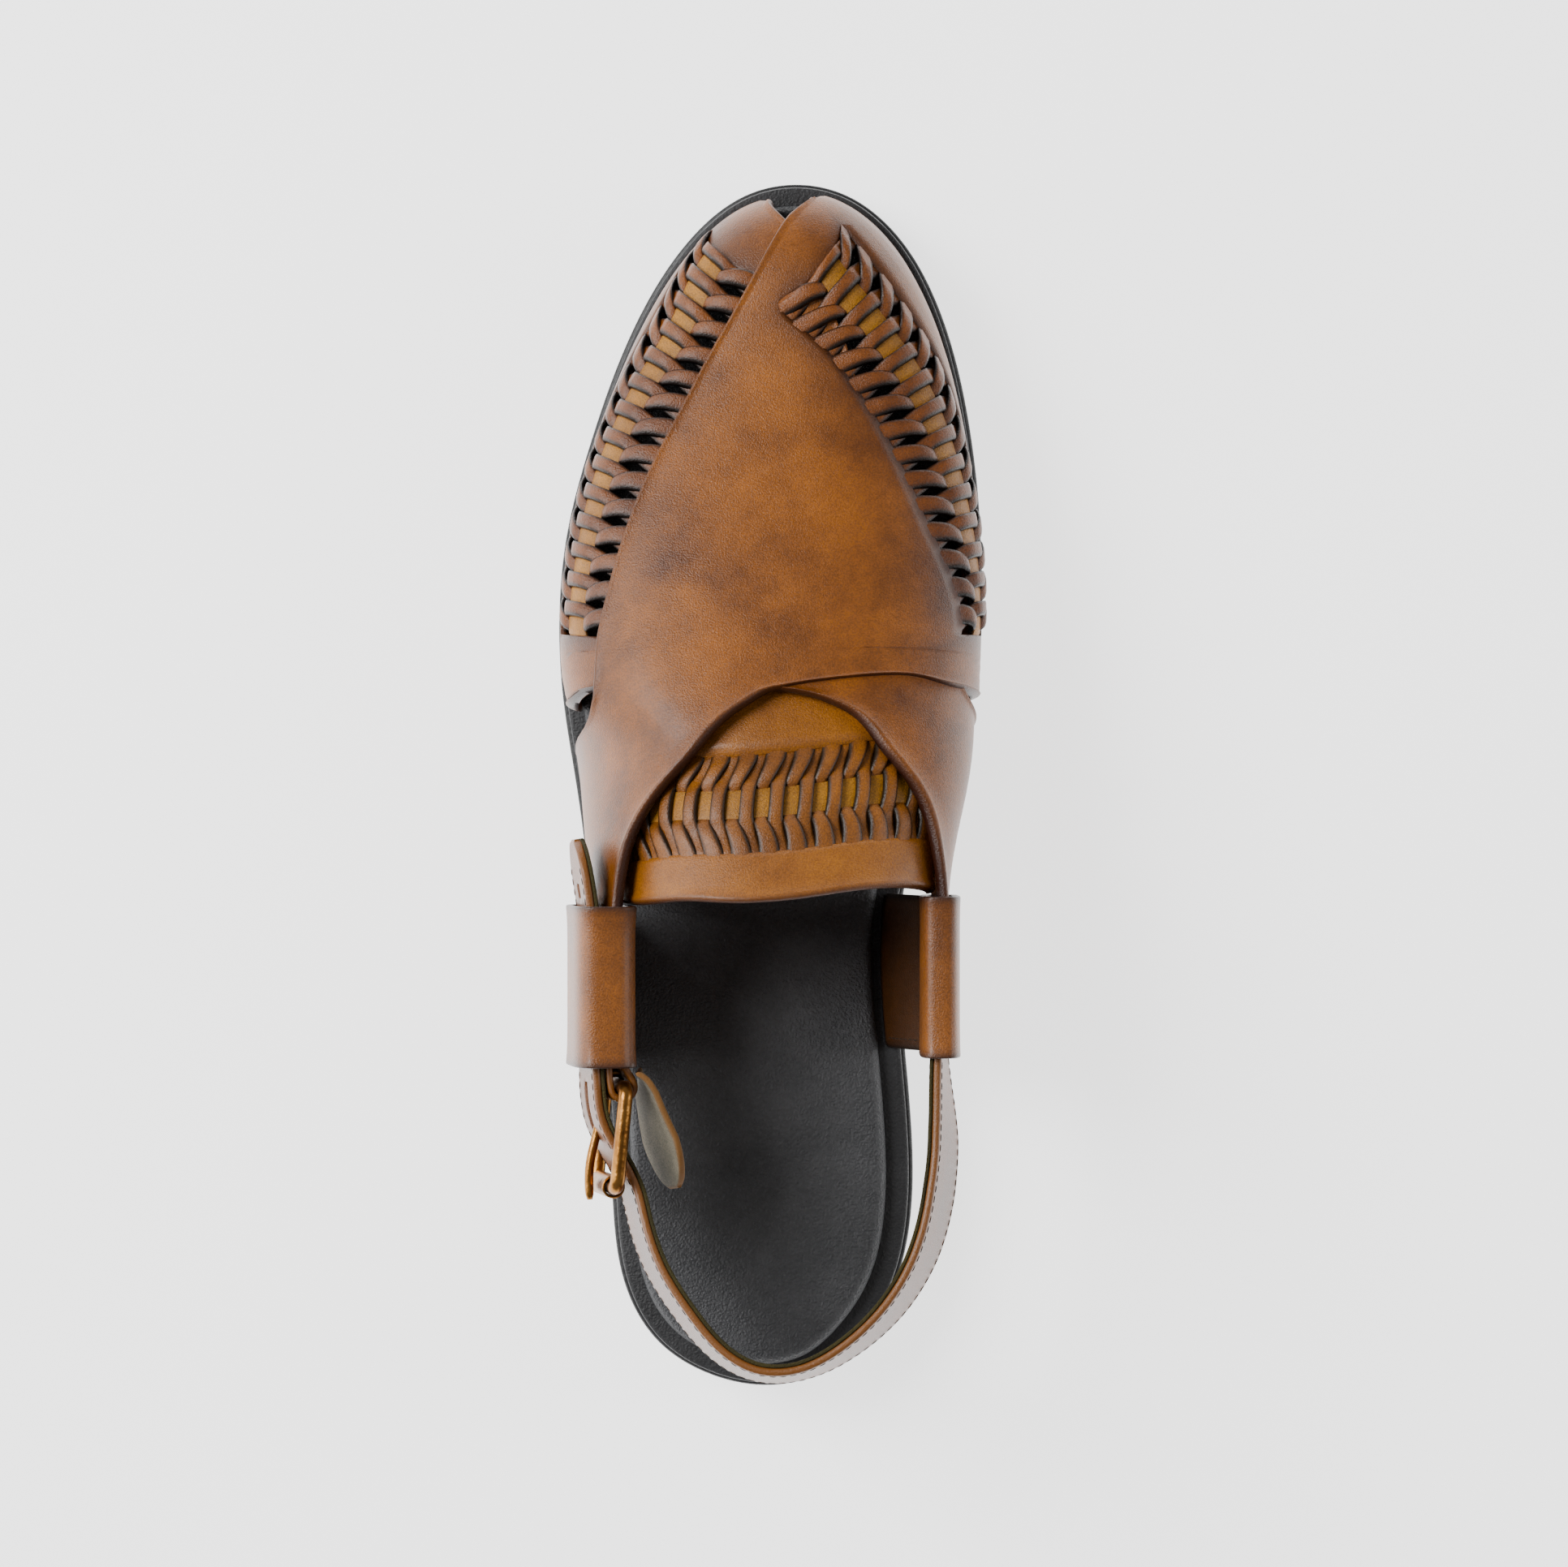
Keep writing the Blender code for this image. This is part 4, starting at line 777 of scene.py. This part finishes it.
def make_tongue(look):
    start, end = TONGUE_WEAVE
    side_cells, weave_cells = TONGUE_CELLS
    across = spread(TONGUE_ROWS[0].across, start, side_cells) + spread(start, end, weave_cells)
    across += spread(end, TONGUE_ROWS[-1].across, side_cells) + [TONGUE_ROWS[-1].across]
    plain, band_cells, front_cells = 12, 6, 6
    grid = []
    for v in across:
        rear, band_rear, band_front, front = tongue_row(v)
        length = np.linalg.norm(last_point(band_rear, v) - last_point(rear, v))
        shares = [min(step / length, 0.5) for step in EDGE_STEPS]
        shares += list(np.linspace(shares[-1], 1.0, plain - len(EDGE_STEPS) + 2))[1:]
        line = [(rear + (band_rear - rear) * share, share * length) for share in shares]
        line += [(band_rear + (band_front - band_rear) * k / band_cells, 1.0) for k in range(1, band_cells)]
        line += [(band_front + (front - band_front) * k / front_cells, 1.0) for k in range(front_cells + 1)]
        grid.append(line)
    woven = range(side_cells, side_cells + weave_cells)
    holes = {(i, j) for i in woven for j in range(plain, plain + band_cells)}

    def surface(i, j):
        u, distance = grid[i][j]
        lift = bead_lift(distance, 1.0)
        mark = max(0.0, 1.0 - distance / TONGUE_EDGE_MARK)
        top = last_point(u, across[i], lift - TONGUE_DEPTH)
        return top, last_point(u, across[i], -TONGUE_DEPTH - TONGUE_WALL), mark

    return wall_grid("tongue", len(across), len(grid[0]), surface, holes, look, ("tongue",))


def weave_tongue(rung_look, tan_look):
    across = np.linspace(*TONGUE_WEAVE, 121)
    track = []
    for v in across:
        _, band_rear, band_front, _ = tongue_row(v)
        track.append(last_point(0.5 * (band_rear + band_front), v, -TONGUE_DEPTH))
    lengths = chord_lengths(np.array(track))
    count = max(int(round(lengths[-1] / TONGUE_PITCH)), 1)
    pitch = lengths[-1] / count

    def where(along, side, height):
        v = float(np.interp(along, lengths, across))
        _, band_rear, band_front, _ = tongue_row(v)
        return last_point(band_rear + (band_front - band_rear) * side, v, height - TONGUE_DEPTH)

    rungs = repeat_in_row("tongue_weave_rungs", twisted_unit(*TONGUE_RUNG_PLACES), count, pitch, rung_look)
    bend_onto(rungs, where)
    bend_onto(repeat_in_row("tongue_weave_tan", tan_block(), count, pitch, tan_look), where)


tongue_leather = leather("tongue_leather", ((0.160, 0.047, 0.003), (0.400, 0.135, 0.006)),
                         (0.070, 0.018, 0.003), 0.40, 0.2)
make_tongue(tongue_leather)
# Its near-black edge colour is partly the strips' cut edges, partly painted shade on their sides.
tongue_strips = leather("tongue_strips", ((0.110, 0.032, 0.003), (0.340, 0.110, 0.006)),
                        (0.012, 0.006, 0.002), 0.40, 0.1)
weave_tongue(tongue_strips, tan_leather)

# Keepers: loops of soft leather at both ends of the heel strap, each folded over and sewn to a leg that
# stands on the midsole; the strap's end and the buckle's leather pass through them.
STRAP_WIDTH = 0.021
STRAP_THICK = 0.0028
STRAP_LEAN = math.radians(12.0)
SIDE_HEIGHT = 0.0595
KEEPER_LENGTH = 0.0375
KEEPER_WALL = 0.0016
KEEPER_LEG_THICK = 0.0030
KEEPER_LEG_INSET = 0.0032
KEEPER_PLAY = 0.0020
KEEPER_BOW = 0.0012
KEEPER_FLARE_SHARE = 1.06
KEEPER_LEAN = math.radians(9.0)
KEEPER_POWER = 4.0
LATERAL_CAVITY = 0.0112
MEDIAL_CAVITY = 0.0060
MEDIAL_TUBE = (0.345, 0.402)
LATERAL_TUBE = (0.3370, -0.367)
KEEPER_EDGE_MARK = 0.0022
LEG_EDGE_MARK = 0.0020
LEG_ROUNDING = 0.0010
STITCH_PITCH = 0.0024


def rounded_box(half_width, half_height, power=KEEPER_POWER, count=72):
    """Closed section in the (across, up) plane."""
    ring = []
    for i in range(count):
        angle = 2.0 * math.pi * i / count
        cosine, sine = math.cos(angle), math.sin(angle)
        ring.append((half_width * math.copysign(abs(cosine) ** (2.0 / power), cosine),
                     half_height * math.copysign(abs(sine) ** (2.0 / power), sine)))
    return ring


def tube_spot(where):
    along, across = where
    return across * BALL_WIDTH, along * SHOE_LENGTH


def stitch_unit():
    """One thread stitch: a short round bar whose ends dip into their holes."""
    rings, marks = [], []
    for along, up, radius in ((0.12, -0.24, 0.10), (0.17, -0.04, 0.15), (0.30, 0.01, 0.15),
                              (0.50, 0.03, 0.15), (0.70, 0.01, 0.15), (0.83, -0.04, 0.15),
                              (0.88, -0.24, 0.10)):
        turns = [k * math.pi / 3 for k in range(6)]
        rings.append([(along, radius * math.cos(turn) * MM, (up + radius * math.sin(turn)) * MM)
                      for turn in turns])
        marks += [0.0] * 6
    points, faces = loft(rings)
    return points, faces, marks


def sew(name, track, normals, look, slot):
    """Row of stitches along track points lying on a surface with the given normals."""
    track, normals = np.array(track), np.array(normals)
    lengths = chord_lengths(track)
    count = max(int(round(lengths[-1] / STITCH_PITCH)), 1)

    def where(along, across, height):
        spot = np.array([np.interp(along, lengths, track[:, k]) for k in range(3)])
        normal = np.array([np.interp(along, lengths, normals[:, k]) for k in range(3)])
        ahead = np.array([np.interp(min(along + 1e-4, lengths[-1]), lengths, track[:, k])
                          - np.interp(max(along - 1e-4, 0.0), lengths, track[:, k]) for k in range(3)])
        side = np.cross(ahead / np.linalg.norm(ahead), normal)
        return spot + side * across + normal * height

    return bend_onto(repeat_in_row(name, stitch_unit(), count, lengths[-1] / count, look), where)


def make_keeper(name, where, inward, cavity_half, lean, look, painted_shade_leg_look, thread):
    """Leather loop on a leg that stands on the midsole; inward is +1 or -1 along X."""
    x, y = tube_spot(where)
    cavity_height = 0.5 * STRAP_WIDTH + KEEPER_PLAY
    tilt = inward * lean

    def ring(share, out):
        flare = 1.0 + (KEEPER_FLARE_SHARE - 1.0) * abs(2.0 * share) ** 6
        spots = []
        for across, up in rounded_box(cavity_half * flare + out, cavity_height * flare + out):
            spots.append((x + across * math.cos(tilt) + up * math.sin(tilt), y + share * KEEPER_LENGTH,
                          SIDE_HEIGHT - across * math.sin(tilt) + up * math.cos(tilt)))
        return spots

    wall = KEEPER_WALL
    ends = ((0.5, 0.70), (0.4965, 0.93), (0.488, 1.0), (0.46, 1.0))
    outside = [ring(-share, full * wall) for share, full in ends]
    outside += [ring(share, wall) for share in np.linspace(-0.42, 0.42, 15)]
    outside += [ring(share, full * wall) for share, full in ends[::-1]]
    inside = [ring(share, (1.0 - full) * wall) for share, full in ends]
    inside += [ring(share, 0.0) for share in np.linspace(0.42, -0.42, 15)]
    inside += [ring(-share, (1.0 - full) * wall) for share, full in ends[::-1]]
    points, faces = loft(outside + inside, closed_loop=True)
    marks = []
    for spots in outside + inside:
        near_end = 0.5 * KEEPER_LENGTH - abs(spots[0][1] - y)
        marks += [max(0.0, 1.0 - near_end / KEEPER_EDGE_MARK)] * len(spots)
    piece(name, points, faces, look, (name,), None, {"edge": marks})

    top_x = x - math.sin(tilt) * cavity_height
    top_z = SIDE_HEIGHT - math.cos(tilt) * cavity_height
    leg_end = (-0.49, -0.485, -0.475, -0.46)
    stations = [*leg_end, *np.linspace(-0.43, 0.43, 16), *(-share for share in leg_end[::-1])]

    def leg_centre(share, up):
        spot = y + share * KEEPER_LENGTH
        left, right = SideEdges.at(KEEPER_LEG_INSET).sides(spot)
        foot = right if inward < 0 else left
        level = seat(spot)
        bow = KEEPER_BOW * inward * math.sin(math.pi * up)
        rise = (top_z - 0.3 * KEEPER_WALL - level) * up
        return np.array((foot + (top_x - foot) * up + bow, spot, level + rise))

    def surface(i, j):
        centre = leg_centre(stations[i], j / 14)
        near_end = (0.49 - abs(stations[i])) * KEEPER_LENGTH
        half = 0.5 * KEEPER_LEG_THICK * math.sqrt(min(1.0, 0.25 + near_end / LEG_ROUNDING))
        side = np.array((inward * half, 0.0, 0.0))
        return centre + side, centre - side, max(0.0, 1.0 - near_end / LEG_EDGE_MARK)

    # The leg's leather is coloured darker than the loop's: painted shade for the shadow it stands in.
    wall_grid(name + "_leg", len(stations), 15, surface, set(), painted_shade_leg_look)

    def seam(places):
        track, normals = [], []
        for share, up in places:
            track.append(leg_centre(share, up) + (inward * 0.5 * KEEPER_LEG_THICK, 0.0, 0.0))
            slope = leg_centre(share, up + 0.02) - leg_centre(share, up - 0.02)
            normal = np.array((slope[2], 0.0, -slope[0])) * inward
            normals.append(normal / np.linalg.norm(normal))
        return track, normals

    rear_seam = [(-0.425, up) for up in np.linspace(0.12, 0.86, 20)]
    tube_seam = [(share, 0.86) for share in np.linspace(-0.41, 0.41, 30)]
    sew(name + "_rear_stitches", *seam(rear_seam), thread, "cognac_leather")
    sew(name + "_tube_stitches", *seam(tube_seam), thread, "cognac_leather")


keeper_leather = leather("keeper_leather", ((0.085, 0.023, 0.003), (0.310, 0.095, 0.007)),
                         (0.030, 0.008, 0.003), 0.38, 0.3)
# Legs: a darker leather than the keepers, as painted shade for the shadow they stand in under the loops.
painted_shade_leg_leather = leather("painted_shade_leg_leather", ((0.030, 0.010, 0.002), (0.085, 0.028, 0.004)),
                      (0.012, 0.005, 0.002), 0.45, 0.0)
brown_thread = surface_material("brown_thread", ((0.016, 0.010, 0.006), (0.035, 0.020, 0.010)),
                                0.2, 0.6, 0.6, 2200.0)
make_keeper("keeper_lateral", LATERAL_TUBE, 1, 0.5 * LATERAL_CAVITY, KEEPER_LEAN, keeper_leather, painted_shade_leg_leather,
            brown_thread)
make_keeper("keeper_medial", MEDIAL_TUBE, -1, 0.5 * MEDIAL_CAVITY, 0.0, keeper_leather, painted_shade_leg_leather,
            brown_thread)

# Heel strap: firm leather, lined with olive suede, its edges burnished and sewn all along; it runs from
# the inner keeper round the heel, through the buckle and the outer keeper to its rounded tip.
BACK_RISE = 0.010
TIP_FLAT = 0.08
TIP_LENGTH = 0.011
STRAP_RIM = 0.0016
STRAP_ROUNDING = 0.0012
SEAM_INSET = 0.0016
LINING_THICK = 0.0009
PRONG_SLOT = (-0.0110, 0.0010)
PRONG_SLOT_HALF = 0.0017
PUNCHED = ((0.0440, 0.0474),)
HINGE_OFFSET = (0.0035, -0.0234)
Place = namedtuple("Place", "along across rise lean")
STRAP_ROUTE = tuple(Place(*row) for row in (
    (0.3740, 0.400, 0.00, 0.0), (0.3200, 0.400, 0.00, 0.1), (0.2690, 0.402, 0.05, 0.6),
    (0.2170, 0.410, 0.20, 1.2), (0.1720, 0.400, 0.40, 1.4), (0.1250, 0.366, 0.65, 1.4),
    (0.0830, 0.298, 0.85, 1.3), (0.0500, 0.200, 0.97, 1.1), (0.0300, 0.090, 1.00, 0.9),
    (0.0285, -0.010, 1.00, 0.9), (0.0425, -0.090, 0.95, 0.95), (0.0740, -0.172, 0.80, 1.0),
    (0.1100, -0.238, 0.55, 1.0),
))
STRAP_TAIL = (
    (0.0059, -0.0322), (0.0034, -0.0236), (-0.0004, -0.0160), (-0.0043, -0.0083), (-0.0056, -0.0001),
    (-0.0060, 0.0127), (-0.0063, 0.0258), (-0.0064, 0.0388), (-0.0078, 0.0490), (-0.0092, 0.0577),
)
TAIL_RISE_SHARE = 0.25


class Band:
    """Flat strip swept along spots, upright but leaned over, with a rounded far end."""

    def __init__(self, spots, width, leans):
        self.spots = np.array(spots)
        self.lengths = chord_lengths(self.spots)
        self.leans = leans
        self.width = width
        self.end = float(self.lengths[-1])

    def spot(self, done, out, share, inset=0.0):
        """Point at a length along the strip, out from its middle and at a share (-1..1) of its height."""
        near = natural_spline(self.lengths, self.spots,
                              np.array([done, min(done + 1e-4, self.end), max(done - 1e-4, 0.0)]))
        tangent = near[1] - near[2]
        tangent /= np.linalg.norm(tangent)
        outward = np.array([-tangent[1], tangent[0], 0.0])
        outward /= np.linalg.norm(outward)
        upward = np.cross(outward, tangent)
        upward *= math.copysign(1.0, upward[2])
        lean = float(np.interp(done, self.lengths, self.leans))
        leaned_up = math.cos(lean) * upward - math.sin(lean) * outward
        leaned_out = math.cos(lean) * outward + math.sin(lean) * upward
        near_tip = max(1.0 - (self.end - done) / (0.5 * self.width), 0.0)
        half = 0.5 * self.width * math.sqrt(max(1.0 - near_tip ** 2, TIP_FLAT)) - inset
        return near[0] + leaned_out * out + leaned_up * half * share, leaned_out


def make_band(name, strip, layer, stations, look, inset=0.0, replaces=(), slots=(),
              rim=STRAP_RIM):
    """One layer of a strip between two distances out from its middle, with rounded long edges."""
    low, high = layer
    half = 0.5 * strip.width - inset
    rounding = min(0.5 * (high - low), STRAP_ROUNDING)
    edge = [(0.0, 0.30), (0.15, 0.70), (0.45, 0.93), (1.0, 1.0), (2.2, 1.0)]
    columns = [(-1.0 + step * rounding / half, full) for step, full in edge]
    columns += [(share, 1.0) for share in (-0.55, -0.35, -PRONG_SLOT_HALF / half, 0.0, PRONG_SLOT_HALF / half,
                                           0.35, 0.55)]
    columns += [(-share, full) for share, full in columns[:len(edge)][::-1]]
    middle, depth = 0.5 * (low + high), 0.5 * (high - low)
    holes = {(i, j) for i in range(len(stations) - 1) for j in (7, 8) for start, end in slots
             if stations[i] >= start - 1e-9 and stations[i + 1] <= end + 1e-9}

    def surface(i, j):
        share, full = columns[j]
        done = stations[i]
        end = min(done, strip.end - done)
        full = min(full, math.sqrt(min(1.0, 0.15 + end / rounding)))
        outer, _ = strip.spot(done, middle + depth * full, share, inset)
        inner, _ = strip.spot(done, middle - depth * full, share, inset)
        mark = max(0.0, 1.0 - min((1.0 - abs(share)) * half, end) / rim)
        return outer, inner, mark

    return wall_grid(name, len(stations), len(columns), surface, holes, look, replaces)


def hinge_spot():
    x, y = tube_spot(LATERAL_TUBE)
    return x + HINGE_OFFSET[0], y + HINGE_OFFSET[1]


def make_heel_strap(look, lining_look, thread):
    bar_x, bar_y = hinge_spot()
    spots = [(p.across * BALL_WIDTH, p.along * SHOE_LENGTH, SIDE_HEIGHT + p.rise * BACK_RISE)
             for p in STRAP_ROUTE]
    for i, (inwards, forwards) in enumerate(STRAP_TAIL):
        rise = TAIL_RISE_SHARE * BACK_RISE if i == 0 else 0.0
        spots.append((bar_x + inwards, bar_y + forwards, SIDE_HEIGHT + rise))
    leans = [p.lean * STRAP_LEAN for p in STRAP_ROUTE]
    leans += [STRAP_LEAN if forwards < 0.0 else KEEPER_LEAN for _, forwards in STRAP_TAIL]
    strip = Band(spots, STRAP_WIDTH, leans)
    lateral = range(len(STRAP_ROUTE), len(spots))
    spans = []
    for low, high in (PRONG_SLOT, *PUNCHED):
        spans.append([float(np.interp(bar_y + reach, strip.spots[lateral, 1], strip.lengths[lateral]))
                      for reach in (low, high)])
    stations = list(np.linspace(0.0, strip.end - TIP_LENGTH, 170))
    stations += list(np.linspace(strip.end - TIP_LENGTH, strip.end, 30))[1:]
    stations = [s for s in stations if not any(span[0] - 4e-4 < s < span[1] + 4e-4 for span in spans)]
    for span in spans:
        stations += list(np.linspace(*span, 9))
    stations = sorted({round(s, 6) for s in stations})
    spans = [(round(span[0], 6), round(span[1], 6)) for span in spans]
    half = 0.5 * STRAP_THICK
    make_band("heel_strap", strip, (-half + LINING_THICK, half), stations, look, 0.0,
              ("heel_strap",), spans)
    make_band("strap_lining", strip, (-half, -half + LINING_THICK), stations, lining_look,
              0.0, (), spans)
    seam_share = 1.0 - SEAM_INSET / (0.5 * STRAP_WIDTH)
    for side, label in ((1.0, "upper"), (-1.0, "lower")):
        for face, face_label in ((1.0, "outer"), (-1.0, "inner")):
            places = [strip.spot(done, face * half, side * seam_share) for done in stations[1:-16:2]]
            sew(f"strap_stitches_{label}_{face_label}", [spot for spot, _ in places],
                [face * out for _, out in places], thread, "strap_leather")


strap_leather = leather("strap_leather", ((0.080, 0.024, 0.004), (0.210, 0.065, 0.009)),
                        (0.190, 0.064, 0.006), 0.40, 0.25)
suede = surface_material("olive_suede", ((0.026, 0.021, 0.005), (0.070, 0.055, 0.012)),
                         0.25, 0.95, 0.9, 2600.0)
black_thread = surface_material("black_thread", ((0.016, 0.013, 0.011), (0.035, 0.028, 0.022)),
                                0.2, 0.6, 0.6, 2200.0)
make_heel_strap(strap_leather, suede, black_thread)

# Buckle: cast brass frame with a loose roller on its rear bar and a prong hooked round the hinge bar.
# It stands upright beside the foot and leans in with the strap.
ROD = 0.0034
ROLLER_DIAMETER = 0.0054
ROLLER_BORE = 0.0042
ROLLER_SOFT = 0.0002
PRONG_DIAMETER = 0.0021
FRAME_PLAY = 0.0010
FRAME_CORNER = 0.0025
ROLLER_OFFSET = (-0.0022, -0.0231)


def in_buckle_space(points):
    """Points built about the hinge bar (X inwards, Y forwards, Z up) moved to their leaned place."""
    x, y = hinge_spot()
    cosine, sine = math.cos(STRAP_LEAN), math.sin(STRAP_LEAN)
    return [(x + cosine * a + sine * c, y + b, SIDE_HEIGHT - sine * a + cosine * c) for a, b, c in points]


def rod(route, diameters, plane, closed=False, sides=24):
    """Round rod swept along points in the plane with the given normal."""
    route = np.array(route, float)
    rings = []
    for i, middle in enumerate(route):
        if closed:
            along = route[(i + 1) % len(route)] - route[i - 1]
        else:
            along = route[min(i + 1, len(route) - 1)] - route[max(i - 1, 0)]
        along /= np.linalg.norm(along)
        first = np.cross(along, plane)
        first /= np.linalg.norm(first)
        second = np.cross(along, first)
        radius = 0.5 * diameters[i]
        turns = [2.0 * math.pi * j / sides for j in range(sides)]
        rings.append([tuple(middle + radius * (math.cos(t) * first + math.sin(t) * second)) for t in turns])
    return loft(rings, closed_loop=closed)


def make_frame(look):
    roller_x, roller_y = ROLLER_OFFSET
    half = 0.5 * STRAP_WIDTH + FRAME_PLAY + 0.5 * ROD
    length = math.hypot(roller_x, roller_y)
    route = []
    for corner_along, corner_up, start in ((length, half, 0), (0.0, half, 90), (0.0, -half, 180),
                                           (length, -half, 270)):
        into_along = FRAME_CORNER if corner_along == 0.0 else -FRAME_CORNER
        into_up = -FRAME_CORNER if corner_up > 0.0 else FRAME_CORNER
        for step in range(11):
            angle = math.radians(start + 9.0 * step)
            along = corner_along + into_along + FRAME_CORNER * math.cos(angle)
            up = corner_up + into_up + FRAME_CORNER * math.sin(angle)
            route.append((roller_x * along / length, roller_y * along / length, up))
    points, faces = rod(route, [ROD] * len(route), (1.0, 0.0, 0.0), closed=True)
    piece("buckle_frame", in_buckle_space(points), faces, look, ("buckle_frame",))


def make_roller(look):
    half = 0.5 * STRAP_WIDTH + FRAME_PLAY - FRAME_CORNER
    x, y = ROLLER_OFFSET
    outer, inner, soft = 0.5 * ROLLER_DIAMETER, 0.5 * ROLLER_BORE, ROLLER_SOFT
    section = ((outer - soft, -half), (outer, -half + soft), (outer, half - soft), (outer - soft, half),
               (inner + soft, half), (inner, half - soft), (inner, -half + soft), (inner + soft, -half))
    rings = []
    for step in range(48):
        angle = 2.0 * math.pi * step / 48
        rings.append([(x + r * math.cos(angle), y + r * math.sin(angle), z) for r, z in section])
    points, faces = loft(rings, closed_loop=True)
    piece("buckle_roller", in_buckle_space(points), faces, look, ("buckle_roller",),
          math.radians(35.0))


def make_prong(look):
    hook = 0.5 * ROD + CLEARANCE + 0.5 * PRONG_DIAMETER
    route = [(hook * math.cos(math.radians(a)), hook * math.sin(math.radians(a)), 0.0)
             for a in range(-60, 181, 12)]
    roller_x, roller_y = ROLLER_OFFSET
    resting = roller_x - 0.5 * (ROLLER_DIAMETER + PRONG_DIAMETER) - CLEARANCE
    knots = np.array((0.0, 0.40, 0.80, 1.15))
    across = np.array((-hook, 0.35 * resting - 0.65 * hook, resting, resting))
    for share in np.linspace(0.0, 1.15, 23)[1:]:
        route.append((float(natural_spline(knots, across, np.array([share]))[0]), share * roller_y, 0.0))
    sizes = [PRONG_DIAMETER] * (len(route) - 2) + [0.92 * PRONG_DIAMETER, 0.6 * PRONG_DIAMETER]
    points, faces = rod(route, sizes, (0.0, 0.0, 1.0))
    piece("buckle_prong", in_buckle_space(points), faces, look, ("buckle_prong",))


brass = surface_material("aged_brass", ((0.130, 0.045, 0.010), (0.500, 0.235, 0.055)), 0.26, 0.30, 0.2, 700.0,
                         metallic=1.0, mottle_size=160.0)
make_frame(brass)
make_roller(brass)
make_prong(brass)

# Chape: doubled leather strip folded round the hinge bar; its two ends lie in the outer keeper.
# It is slit at the fold to let the prong through.
CHAPE_THICK = 0.0016
CHAPE_INSET = 0.0010
CHAPE_RIM = 0.0015
CHAPE_CELLS = 90
CHAPE_SHIFT = -0.0024
PRONG_PLAY = 0.0005
TAIL_END = 0.025


def make_chape(look):
    radius = 0.5 * ROD + CLEARANCE + 0.5 * CHAPE_THICK
    _, bar_y = hinge_spot()
    front = TAIL_END * (SideEdges.at(LAST_INSET).toe - LAST_BACK * SHOE_LENGTH) + LAST_BACK * SHOE_LENGTH
    reach = front - 2.0 * CLEARANCE - bar_y
    leg = 0.5 * CHAPE_THICK
    knots = [(CHAPE_SHIFT - leg, reach), (CHAPE_SHIFT - leg, 0.6 * reach), (CHAPE_SHIFT - leg, 0.3 * reach)]
    knots += [(radius * math.cos(math.radians(a)), radius * math.sin(math.radians(a)))
              for a in range(185, 386, 20)]
    knots += [(CHAPE_SHIFT + 1.2 * leg, 2.6 * radius), (CHAPE_SHIFT + leg, 0.6 * reach),
              (CHAPE_SHIFT + leg, reach)]
    knots = np.array(knots)
    lengths = chord_lengths(knots)
    path = natural_spline(lengths, knots, np.linspace(0.0, lengths[-1], CHAPE_CELLS))
    ahead = np.gradient(path, axis=0)
    ahead /= np.linalg.norm(ahead, axis=1)[:, None]
    normal = np.stack([ahead[:, 1], -ahead[:, 0]], axis=1)
    half = 0.5 * STRAP_WIDTH - CHAPE_INSET
    slot_half = 0.5 * PRONG_DIAMETER + PRONG_PLAY
    heights = [-half, -half + 0.0003, -half + 0.0009, -0.6 * half, -slot_half, 0.0]
    heights += [-height for height in heights[:-1][::-1]]
    full = [0.4, 0.85] + [1.0] * 7 + [0.85, 0.4]
    holes = {(i, j) for i in range(CHAPE_CELLS - 1) for j in (4, 5) if -2.0 * radius < path[i, 1] < radius}

    def surface(i, j):
        side = 0.5 * CHAPE_THICK * full[j] * normal[i]
        outer = in_buckle_space([(path[i, 0] + side[0], path[i, 1] + side[1], heights[j])])[0]
        inner = in_buckle_space([(path[i, 0] - side[0], path[i, 1] - side[1], heights[j])])[0]
        return outer, inner, max(0.0, 1.0 - (half - abs(heights[j])) / CHAPE_RIM)

    wall_grid("buckle_chape", CHAPE_CELLS, len(heights), surface, holes, look,
              ("buckle_chape",))


make_chape(strap_leather)

# Guard: a loose rounded tab of grey leather between buckle and foot, with a fuzzy cut edge.
# It is sewn to the rear end of the outer keeper.
GUARD_THICK = 0.0016
GUARD_HEIGHT = 0.024
GUARD_TIP = 0.012
GUARD_RIM = 0.0010
GUARD_LEAN = math.radians(20.0)
GUARD_ROUTE = tuple(Place(*row) for row in (
    (0.0000, -0.2835, 0.0, 0.0), (-0.0075, -0.2700, 0.0, 0.3), (-0.0180, -0.2620, 0.0, 0.6),
    (-0.0560, -0.2320, 0.0, 1.0), (-0.0950, -0.1980, 0.0, 1.0),
))


def make_guard(look):
    rear = LATERAL_TUBE[0] * SHOE_LENGTH - 0.5 * KEEPER_LENGTH - CLEARANCE - 0.5 * GUARD_THICK
    spots = [(spot.across * BALL_WIDTH, rear + spot.along * SHOE_LENGTH, SIDE_HEIGHT) for spot in GUARD_ROUTE]
    strip = Band(spots, GUARD_HEIGHT, [-spot.lean * GUARD_LEAN for spot in GUARD_ROUTE])
    stations = list(np.linspace(0.0, strip.end - GUARD_TIP, 30))
    stations += list(np.linspace(strip.end - GUARD_TIP, strip.end, 36))[1:]
    half = 0.5 * GUARD_THICK
    make_band("buckle_guard", strip, (-half, half), stations, look, 0.0, ("buckle_guard",),
              rim=GUARD_RIM)


guard_leather = leather("guard_leather", ((0.120, 0.105, 0.070), (0.300, 0.265, 0.190)),
                        (0.190, 0.080, 0.014), 0.75, 0.0)
make_guard(guard_leather)
